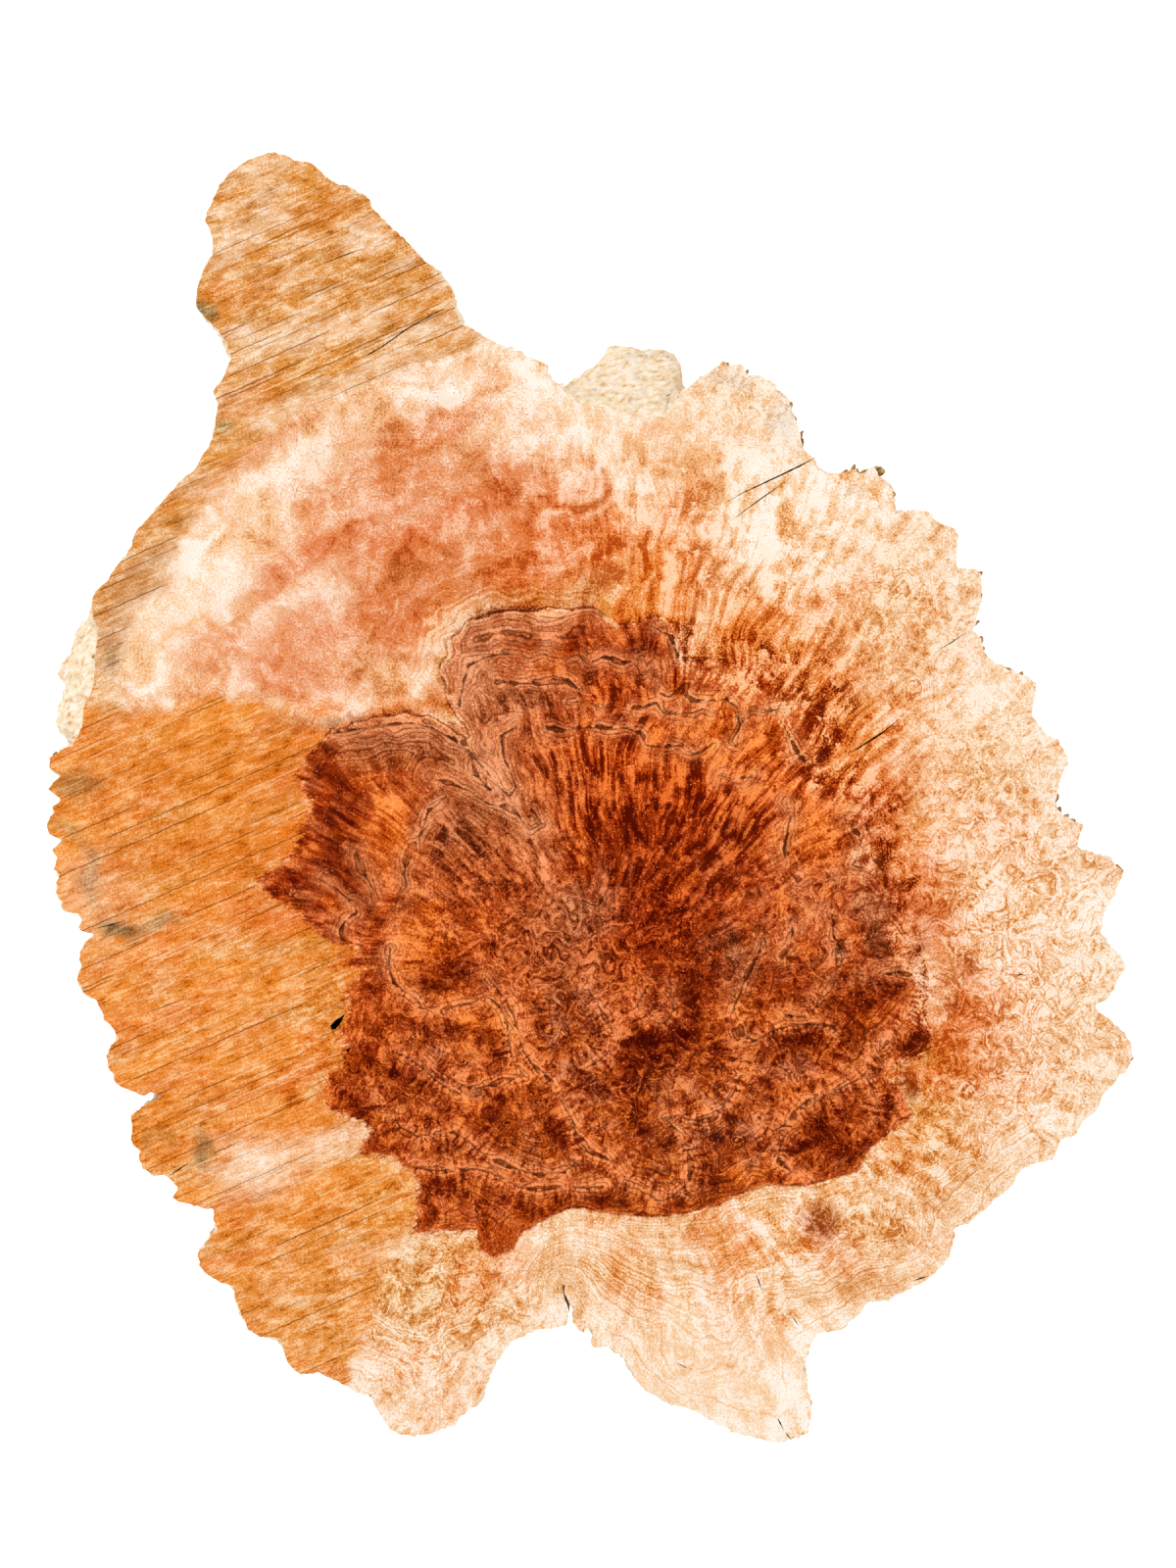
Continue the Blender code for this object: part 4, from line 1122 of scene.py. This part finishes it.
def rough_scrap_nodes(material):
    """Geometry Nodes: a lump at each point, sized and turned by its attributes, then roughened."""
    tree = bpy.data.node_groups.new("bark_scraps", "GeometryNodeTree")
    tree.interface.new_socket("Points", in_out="INPUT", socket_type="NodeSocketGeometry")
    for name, value in (("Roughness", SCRAP_ROUGHNESS), ("Grain", 0.9 * MM)):
        tree.interface.new_socket(name, in_out="INPUT", socket_type="NodeSocketFloat").default_value = value
    tree.interface.new_socket("Scraps", in_out="OUTPUT", socket_type="NodeSocketGeometry")

    def node(kind, inputs, **settings):
        return add_node(tree, kind, inputs, **settings)

    given = node("NodeGroupInput", {})
    size = node("GeometryNodeInputNamedAttribute", {"Name": "size"}, data_type="FLOAT_VECTOR")
    turn = node("GeometryNodeInputNamedAttribute", {"Name": "turn"}, data_type="FLOAT_VECTOR")
    lump = node("GeometryNodeMeshIcoSphere", {"Radius": 0.5, "Subdivisions": 4})
    placed = node("GeometryNodeInstanceOnPoints", {
        "Points": given.outputs["Points"], "Instance": lump.outputs["Mesh"],
        "Scale": size.outputs["Attribute"], "Rotation": turn.outputs["Attribute"]})
    solid = node("GeometryNodeRealizeInstances", {"Geometry": placed.outputs[0]})
    fineness = node("ShaderNodeMath", {0: 1.0, 1: given.outputs["Grain"]}, operation="DIVIDE")
    noise = node("ShaderNodeTexNoise", {"Scale": fineness.outputs[0], "Detail": 3.0, "Roughness": 0.6})
    middle = {0: noise.outputs["Color"], 1: (0.5, 0.5, 0.5)}
    centred = node("ShaderNodeVectorMath", middle, operation="SUBTRACT")
    reach = {0: centred.outputs[0], 3: given.outputs["Roughness"]}
    push = node("ShaderNodeVectorMath", reach, operation="SCALE")
    moved = node("GeometryNodeSetPosition", {"Geometry": solid.outputs[0], "Offset": push.outputs[0]})
    painted = node("GeometryNodeSetMaterial", {"Geometry": moved.outputs[0], "Material": material})
    node("NodeGroupOutput", {"Scraps": painted.outputs[0]})
    return tree


def build_scraps(edge):
    """Bark and splinters, each on the nearest point of the slab's edge."""
    mesh = bpy.data.meshes.new("scrap_points")
    places = nearest_on(*segments_of(edge), outline_at([scrap[:2] for scrap in SCRAPS]))[0]
    mesh.from_pydata([(x, y, SHOW_Z - SCRAP_DEPTH) for x, y in places], [], [])
    sizes = [(length * MM, width * MM, 1.8 * SCRAP_DEPTH) for _, _, length, width, _ in SCRAPS]
    turns = [(0, 0, math.radians(heading)) for *_, heading in SCRAPS]
    store(mesh, "size", [np.array(sizes)])
    store(mesh, "turn", [np.array(turns)])
    points = bpy.data.objects.new("scrap_points", mesh)
    bpy.context.scene.collection.objects.link(points)
    maker = points.modifiers.new("scraps", "NODES")
    maker.node_group = rough_scrap_nodes(bark_wood())
    for item in maker.node_group.interface.items_tree:
        if item.in_out == "INPUT" and item.name == "Roughness":
            maker[item.identifier] = SCRAP_ROUGHNESS
    depsgraph = bpy.context.evaluated_depsgraph_get()
    made = bpy.data.meshes.new_from_object(points.evaluated_get(depsgraph), depsgraph=depsgraph)
    bpy.data.objects.remove(points)
    made.name = "bark_scraps"
    made.shade_smooth()
    scraps = bpy.data.objects.new("bark_scraps", made)
    bpy.context.scene.collection.objects.link(scraps)
    return scraps


# Materials

class Wiring:
    """Adds nodes to a material and joins them, so that a pattern reads as a formula."""

    def __init__(self, name, roughness=0.6, specular=0.1):
        self.material = bpy.data.materials.new(name)
        self.material.use_nodes = True
        self.tree = self.material.node_tree
        self.shader = self.tree.nodes["Principled BSDF"]
        self.shader.inputs["Roughness"].default_value = roughness
        self.shader.inputs["Specular IOR Level"].default_value = specular

    def node(self, kind, inputs, **settings):
        return add_node(self.tree, kind, inputs, **settings)

    def place(self):
        return self.node("ShaderNodeTexCoord", {}).outputs["Object"]

    def field(self, name, output="Vector"):
        return self.node("ShaderNodeAttribute", {}, attribute_name=name).outputs[output]

    def split(self, vector):
        return self.node("ShaderNodeSeparateXYZ", {0: vector}).outputs

    def join(self, x, y, z):
        return self.node("ShaderNodeCombineXYZ", {0: x, 1: y, 2: z}).outputs[0]

    def calc(self, operation, a, b=0.0, c=0.0):
        return self.node("ShaderNodeMath", {0: a, 1: b, 2: c}, operation=operation).outputs[0]

    def add(self, *terms):
        total = terms[0]
        for term in terms[1:]:
            total = self.calc("ADD", total, term)
        return total

    def times(self, *factors):
        product = factors[0]
        for factor in factors[1:]:
            product = self.calc("MULTIPLY", product, factor)
        return product

    def centred(self, value, size):
        """A 0 to 1 pattern turned into plus or minus half a size."""
        return self.calc("MULTIPLY_ADD", value, size, -size / 2)

    def vector(self, operation, a, b=(0, 0, 0), scale=1.0):
        made = self.node("ShaderNodeVectorMath", {0: a, 1: b, 3: scale}, operation=operation)
        return made.outputs["Value" if operation == "LENGTH" else "Vector"]

    def noise(self, vector, size, detail=1.0, roughness=0.5, flat=True):
        return self.node("ShaderNodeTexNoise", {
            "Vector": vector, "Scale": 1 / size, "Detail": detail, "Roughness": roughness},
            noise_dimensions="2D" if flat else "3D").outputs[0]

    def line_noise(self, value, size, detail=1.0, roughness=0.6):
        return self.node("ShaderNodeTexNoise", {
            "W": value, "Scale": 1 / size, "Detail": detail, "Roughness": roughness},
            noise_dimensions="1D").outputs[0]

    def cells(self, vector, size):
        made = self.node("ShaderNodeTexVoronoi", {
            "Vector": vector, "Scale": 1 / size}, voronoi_dimensions="2D")
        return made.outputs["Distance"], made.outputs["Color"]

    def remap(self, value, low, high, start=0.0, end=1.0):
        return self.node("ShaderNodeMapRange", {
            "Value": value, "From Min": low, "From Max": high, "To Min": start, "To Max": end},
            interpolation_type="SMOOTHSTEP").outputs[0]

    def blend(self, share, a, b):
        return self.node("ShaderNodeMix", {0: share, 2: a, 3: b}, data_type="FLOAT").outputs[0]

    def mix(self, share, a, b):
        return self.node("ShaderNodeMix", {0: share, 6: a, 7: b}, data_type="RGBA").outputs[2]

    def turned(self, vector, degrees, scale):
        """The vector seen along a heading, then drawn out on each axis."""
        turn = (0, 0, -math.radians(degrees))
        turned = self.node("ShaderNodeMapping", {"Vector": vector, "Rotation": turn})
        return self.node("ShaderNodeMapping", {"Vector": turned.outputs[0], "Scale": scale}).outputs[0]

    def paint(self, colour):
        self.tree.links.new(colour, self.shader.inputs["Base Color"])

    def emboss(self, height, strength, distance):
        bump = self.node("ShaderNodeBump", {"Strength": strength, "Distance": distance, "Height": height})
        self.tree.links.new(bump.outputs[0], self.shader.inputs["Normal"])


def opaque(hex_colour):
    return (*linear(hex_colour), 1)


class Figure(Wiring):
    """The figured wood's wiring, with the slab's fields and the noises that its parts share."""

    def __init__(self):
        super().__init__("figure_wood", roughness=0.75, specular=0.01)
        self.growth, self.heart_depth = self.split(self.field("growth"))[:2]
        self.line_gap, self.line_strength, self.softness = self.split(self.field("lines"))
        self.sawn, self.curl, self.bands = self.split(self.field("kinds"))
        self.billow, self.fan, self.core = self.split(self.field("tones"))
        self.pits, self.liveliness, self.torn = self.split(self.field("wear"))
        self.line_patches, self.pit_patches = self.split(self.field("patches"))[1:]
        self.flame_along, self.flame_gap, self.flame = self.split(self.field("flames"))
        self.stream = self.field("stream")
        self.spot = self.place()
        self.medium = self.noise(self.spot, 2.2 * MM, 2.0)
        self.fine = self.noise(self.spot, 0.5 * MM, 1.0)
        self.curled = self.noise(self.field("swirl"), 1.8 * MM, 3.0, 0.66)
        along = self.turned(self.spot, GRAIN_HEADING, (0.22, 1, 1))
        self.sawn_grain = self.noise(along, 1.0 * MM, 3.0, 0.75)
        self.heartwood = self.remap(self.heart_depth, -1.0, 1.0)


def fan_streaks(w):
    """Flecks that run out from the heart's centre and start afresh at each feathered ring."""
    x, y = at(*STREAK_CENTRE)
    offset = w.vector("SUBTRACT", w.stream, (x, y, 0))
    reach = w.vector("LENGTH", offset)
    heading = w.vector("NORMALIZE", offset)
    ring = w.calc("DIVIDE", w.add(reach, w.centred(w.medium, 9 * MM)), FEATHER_STEP)
    afresh = w.calc("FLOOR", ring)

    def flecks(spread, length):
        along = w.calc("MULTIPLY_ADD", afresh, 7.3, w.calc("DIVIDE", reach, length))
        place = w.vector("ADD", w.vector("SCALE", heading, scale=spread), w.join(0.0, 0.0, along))
        return w.noise(place, 1.0, 3.0, 0.62, flat=False)

    streak = w.blend(w.remap(reach, 24 * MM, 60 * MM), flecks(*NEAR_FLECKS), flecks(*FAR_FLECKS))
    return streak, w.calc("SUBTRACT", ring, afresh)


def grain_tone(w, streak, feather):
    """Light and dark wood along the grain: the fan's flecks, curls, saw grain and flames."""
    flecks = w.remap(w.add(streak, w.times(w.billow, 0.12)), 0.32, 0.68)
    flecks = w.add(w.times(flecks, 0.75), w.times(streak, 0.25))
    tongues = w.join(w.add(w.flame_along, w.centred(w.medium, 1.6)), w.times(w.flame_gap, 0.22), 0.0)
    tongues = w.noise(tongues, 1.1, 3.0, 0.6)
    return w.add(0.5, w.times(w.centred(flecks, 0.44), w.fan, w.add(0.75, w.times(w.heartwood, 0.35))),
                 w.times(w.centred(w.curled, 0.65), w.curl), w.times(w.centred(w.sawn_grain, 0.7), w.sawn),
                 w.times(w.add(feather, -0.5), 0.08, w.fan), w.times(w.centred(tongues, 1.2), w.flame),
                 w.times(w.billow, w.add(0.17, w.times(w.sawn, 0.1))), w.centred(w.fine, 0.36))


def small_eyes(w, unbanded):
    """Round pips in the curled wood: which are kept, their dark middles, pale halos and rise."""
    shift = w.join(w.centred(w.medium, 1.6 * MM), 0.0, 0.0)
    away, lot = w.cells(w.vector("ADD", w.stream, shift), PIP_SPACING)
    chance = w.split(lot)[0]
    kept = w.times(w.remap(chance, 0.5, 0.9), w.curl, w.remap(w.sawn, 0.0, 0.5, 1.0, 0.0), unbanded)
    eye = w.times(w.remap(away, 0.06, 0.3, 1.0, 0.0), kept)
    halo = w.times(w.remap(away, 0.26, 0.38), w.remap(away, 0.38, 0.5, 1.0, 0.0), kept)
    rise = w.times(w.remap(away, 0.0, 0.6, 1.4, 0.0), kept)
    return kept, eye, halo, rise


def growth_rings(w, streak):
    """The rings, which close round the hills and eyes, their level for contours, and their tone."""
    unbanded = w.remap(w.bands, 0.15, 0.6, 1.0, 0.0)
    kept, eye, halo, rise = small_eyes(w, unbanded)
    knot = w.noise(w.field("swirl"), 2.4 * MM, 1.0)
    knots = w.times(w.centred(knot, 8.0), w.curl, w.add(0.06, w.times(unbanded, 0.94)))
    zigzag = w.times(w.centred(streak, 5.0), w.fan)
    rings = w.add(w.growth, w.centred(w.medium, 0.5), zigzag, rise, knots)
    rings = w.line_noise(rings, RING_WIDTH, 2.0)
    level = w.add(w.growth, w.centred(w.medium, 0.6), w.times(zigzag, 0.4), rise, knots)
    ring_share = w.add(0.15, w.times(w.bands, 0.5), w.times(kept, 0.12))
    tone = w.add(w.times(w.centred(knot, -0.55), w.curl), w.times(w.centred(rings, 1.0), ring_share),
                 w.times(eye, w.add(-0.15, w.times(w.heartwood, -0.05))), w.times(halo, 0.08),
                 w.times(w.core, w.add(-0.22, w.centred(rings, 1.3), w.centred(w.curled, 1.4))))
    return rings, level, tone


def contrasted(w, tone):
    """The tone made livelier in the heart and the plain sapwood, and quieter in calm wood."""
    plain_sap = w.times(w.remap(w.heartwood, 0.0, 1.0, 1.0, 0.0), w.remap(w.sawn, 0.0, 1.0, 1.0, 0.0))
    contrast = w.add(1.0, w.times(w.heartwood, 0.3), w.times(plain_sap, 0.45))
    livelier = w.times(w.add(tone, -0.5), w.liveliness, contrast)
    return w.add(0.5, livelier, w.times(w.heartwood, w.fan, -0.06))


def heart_share(w, tone):
    """1 in the heart and 0 outside it. Its border is ragged where the saw tore it, and soft where
    flecks cross it."""
    shift = w.add(w.centred(w.medium, 1.2), w.times(w.centred(w.sawn_grain, 9.0), w.torn))
    shift = w.add(shift, w.times(w.centred(tone, -5.0), w.add(w.softness, -0.3)))
    return w.node("ShaderNodeMapRange", {
        "Value": w.add(w.heart_depth, shift), "From Min": w.times(w.softness, -1.0),
        "From Max": w.softness}, interpolation_type="SMOOTHSTEP").outputs[0]


def wood_colours(w, share):
    """The wood's pale, ground and fleck colours, from the outer wood's to the heart's."""
    return [w.mix(share, w.field("outer_" + level, "Color"), w.field("heart_" + level, "Color"))
            for level in ("pale", "ground", "fleck")]


def add_contours(w, colour, share, fleck, level):
    """Thin dark contours round the hills, in the banded and the curled wood."""
    contour = w.times(w.remap(w.calc("PINGPONG", level, CONTOUR_STEP), 0.0, 0.26, 1.0, 0.0),
                      w.calc("MAXIMUM", w.bands, w.times(w.curl, 0.45)), w.remap(w.pit_patches, -0.8, 0.1))
    contour_colour = w.mix(w.times(share, 0.7), fleck, opaque("341A0A"))
    return w.mix(w.times(contour, w.add(0.34, w.times(share, 0.5))), colour, contour_colour)


def add_bands(w, colour, share, band_colour, rings):
    """Broad growth bands along the rings."""
    band = w.times(w.remap(rings, 0.42, 0.34), w.bands)
    return w.mix(w.times(band, 0.6), colour, w.mix(w.times(share, 0.6), band_colour, opaque("4A2C14")))


def add_growth_lines(w, colour, share, tone):
    """The heart's dark wavy lines, broken here and there."""
    wavy = w.add(w.line_gap, w.centred(w.medium, 0.5), w.centred(tone, 0.9))
    line = w.times(w.remap(w.calc("ABSOLUTE", wavy), 0.05, 0.42, 1.0, 0.0), w.line_strength,
                   w.remap(w.line_patches, -0.8, 0.4))
    return w.mix(w.times(line, w.add(0.15, w.times(share, 0.65))), colour, opaque("3C1C08"))


def add_saw_marks(w, colour):
    """Thin straight lines left by the blade: broken dark ones, and pale torn fibres."""
    across = w.split(w.turned(w.spot, SAW_HEADING, (1, 1, 1)))[1]
    breaks = w.noise(w.turned(w.spot, SAW_HEADING, (0.07, 1, 1)), 2.2 * MM, 1.0)
    lines = w.line_noise(w.add(across, w.centred(w.medium, 0.6 * MM)), 0.5 * MM, 0.0)
    dark = w.times(w.remap(lines, 0.62, 0.78), w.remap(breaks, 0.5, 0.58))
    torn = w.times(w.remap(lines, 0.36, 0.22), w.remap(breaks, 0.47, 0.4))
    colour = w.mix(w.times(dark, w.sawn, 0.8), colour, opaque("80420C"))
    return w.mix(w.times(torn, w.sawn, 0.5), colour, opaque("FCDDB4"))


def add_pits_and_painted_glints(w, colour, share):
    """Dark torn pits where the wood has them, and pale specks in the heart painted as tiny glints of light.
    """
    pit = w.times(w.remap(w.fine, 0.36, 0.28), w.remap(w.pit_patches, 0.0, 0.6), w.pits)
    colour = w.mix(w.times(pit, 0.8), colour, opaque("9A5428"))
    # painted highlights: tiny pale glints in the heart, from the top of the fine noise
    return w.mix(w.times(w.remap(w.fine, 0.77, 0.84), share, 0.7), colour, opaque("FBC8A0"))


def figure_wood():
    """The sawn faces: streaks, curl, eyes, growth lines, bands, saw marks and pits."""
    w = Figure()
    streak, feather = fan_streaks(w)
    rings, level, ring_tone = growth_rings(w, streak)
    tone = contrasted(w, w.add(grain_tone(w, streak, feather), ring_tone))
    share = heart_share(w, tone)
    pale, ground, fleck = wood_colours(w, share)
    colour = w.mix(w.remap(tone, 0.22, 0.42), fleck, ground)
    colour = w.mix(w.remap(tone, 0.4, 0.74), colour, pale)
    colour = add_contours(w, colour, share, fleck, level)
    colour = add_bands(w, colour, share, w.mix(0.4, ground, fleck), rings)
    colour = add_growth_lines(w, colour, share, tone)
    colour = add_pits_and_painted_glints(w, add_saw_marks(w, colour), share)
    grain = w.add(0.8, w.times(w.fine, 0.28), w.times(w.medium, 0.12))
    richer = w.node("ShaderNodeGamma", {0: colour, 1: w.add(1.1, w.times(share, 0.12))}).outputs[0]
    brightness = w.times(grain, w.add(1.07, w.times(share, 0.2)))
    w.paint(w.vector("SCALE", richer, scale=brightness))
    w.emboss(w.sawn_grain, 0.35, 0.25 * MM)
    return w.material


def dark_bark_and_painted_shade():
    """The inside of checks and pockets: dark bark in the pockets and painted shade in the checks, with
    random patches painted browner as if catching light.
    """
    w = Wiring("dark_bark_and_painted_shade", roughness=0.9, specular=0.0)
    lit = w.remap(w.noise(w.place(), 0.8 * MM, 2.0, flat=False), 0.4, 0.7)
    # painted shade: near-black in the openings, lifted to brown in noise patches as painted light
    w.paint(w.mix(lit, opaque("1E0D05"), opaque("5A3014")))
    return w.material


def live_edge_wood():
    """The burl's own skin: cream and furrowed at the top, with brown bark left lower down."""
    w = Wiring("live_edge_wood", roughness=0.8, specular=0.02)
    place = w.place()
    furrow = w.noise(w.turned(place, 20, (0.5, 1, 0.3)), 1.3 * MM, 3.0, 0.65, flat=False)
    blotch = w.noise(place, 8 * MM, 4.0, 0.65, flat=False)
    apron = w.split(w.field("patches"))[0]
    low = w.remap(w.split(place)[2], SHOW_Z * 0.8, SHOW_Z * 0.3)
    low = w.times(low, w.remap(apron, 0.0, 0.6, 1.0, 0.0))
    colour = w.mix(w.remap(furrow, 0.28, 0.46), opaque("D29A5C"), opaque("F8DEB8"))
    colour = w.mix(w.remap(furrow, 0.46, 0.6), colour, opaque("FEF2E0"))
    tan = w.times(w.remap(blotch, 0.46, 0.62), w.add(0.25, w.times(low, 0.6), w.times(apron, -0.15)))
    colour = w.mix(tan, colour, opaque("B87A40"))
    bark = w.times(w.remap(w.add(blotch, w.centred(furrow, 0.3)), 0.56, 0.64), low, 0.85)
    colour = w.mix(bark, colour, opaque("6B4022"))
    pit = w.times(w.remap(w.add(blotch, w.centred(furrow, 0.5)), 0.66, 0.72), apron, 0.7)
    colour = w.mix(pit, colour, opaque("6E4A26"))
    w.paint(colour)
    w.emboss(w.add(furrow, w.times(bark, 0.4)), 0.6, 0.6 * MM)
    return w.material


def bark_wood():
    """Scraps of brown bark and splinters, grey-brown in the hollows and straw on the ridges."""
    w = Wiring("bark_scraps", roughness=0.85, specular=0.02)
    grain = w.noise(w.turned(w.place(), 30, (0.4, 1, 1)), 0.7 * MM, 3.0, 0.7, flat=False)
    colour = w.mix(w.remap(grain, 0.34, 0.5), opaque("5E3E1E"), opaque("B08450"))
    colour = w.mix(w.remap(grain, 0.5, 0.68), colour, opaque("EBCB96"))
    w.paint(colour)
    w.emboss(grain, 0.6, 0.4 * MM)
    return w.material


# Stage

TABLE_SIZE = 4
TABLE_GLOW = 0.75
ROOM_LIGHT = 0.9


def make_floor():
    """A white light table, bright enough that the blank throws no shadow on it."""
    bpy.ops.mesh.primitive_plane_add(size=TABLE_SIZE)
    floor = bpy.context.object
    floor.name = "floor"
    white = plain("floor_white", (0.8, 0.8, 0.8), 0.9)
    shader = white.node_tree.nodes["Principled BSDF"]
    shader.inputs["Emission Color"].default_value = (1, 1, 1, 1)
    shader.inputs["Emission Strength"].default_value = TABLE_GLOW
    floor.data.materials.append(white)


def soft_light(name, place, size, power, aim=(0, 0, 0)):
    lamp = bpy.data.lights.new(name, "AREA")
    lamp.shape = "DISK"
    lamp.size = size
    lamp.energy = power
    light = bpy.data.objects.new(name, lamp)
    light.location = place
    light.rotation_euler = (Vector(aim) - Vector(place)).to_track_quat("-Z", "Y").to_euler()
    bpy.context.scene.collection.objects.link(light)


def make_stage():
    make_floor()
    soft_light("key_softbox", (-0.9, 0.7, 1.5), 0.9, 15)
    soft_light("fill_softbox", (1.1, -0.6, 1.4), 1.4, 9)
    world = bpy.data.worlds.new("studio")
    world.use_nodes = True
    background = world.node_tree.nodes["Background"]
    background.inputs["Color"].default_value = (1, 1, 1, 1)
    background.inputs["Strength"].default_value = ROOM_LIGHT
    bpy.context.scene.world = world
    bpy.context.scene.view_settings.view_transform = "Standard"


def make_camera():
    """Straight above, with 1600 pixels covering 400 mm at the show face."""
    lens = bpy.data.cameras.new("camera")
    lens.lens = 100
    lens.sensor_width = 36
    camera = bpy.data.objects.new("camera", lens)
    reach = PHOTO_SIZE[1] * PIXEL * lens.lens / lens.sensor_width
    x, y = at(PHOTO_SIZE[0] / 2, PHOTO_SIZE[1] / 2)
    camera.location = (x, y, SHOW_Z + reach)
    bpy.context.scene.collection.objects.link(camera)
    bpy.context.scene.camera = camera


make_camera()
slab, slab_edge = build_slab()
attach(slab, "root")
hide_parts("burl_slab")
scraps = build_scraps(slab_edge)
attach(scraps, "root")
make_stage()
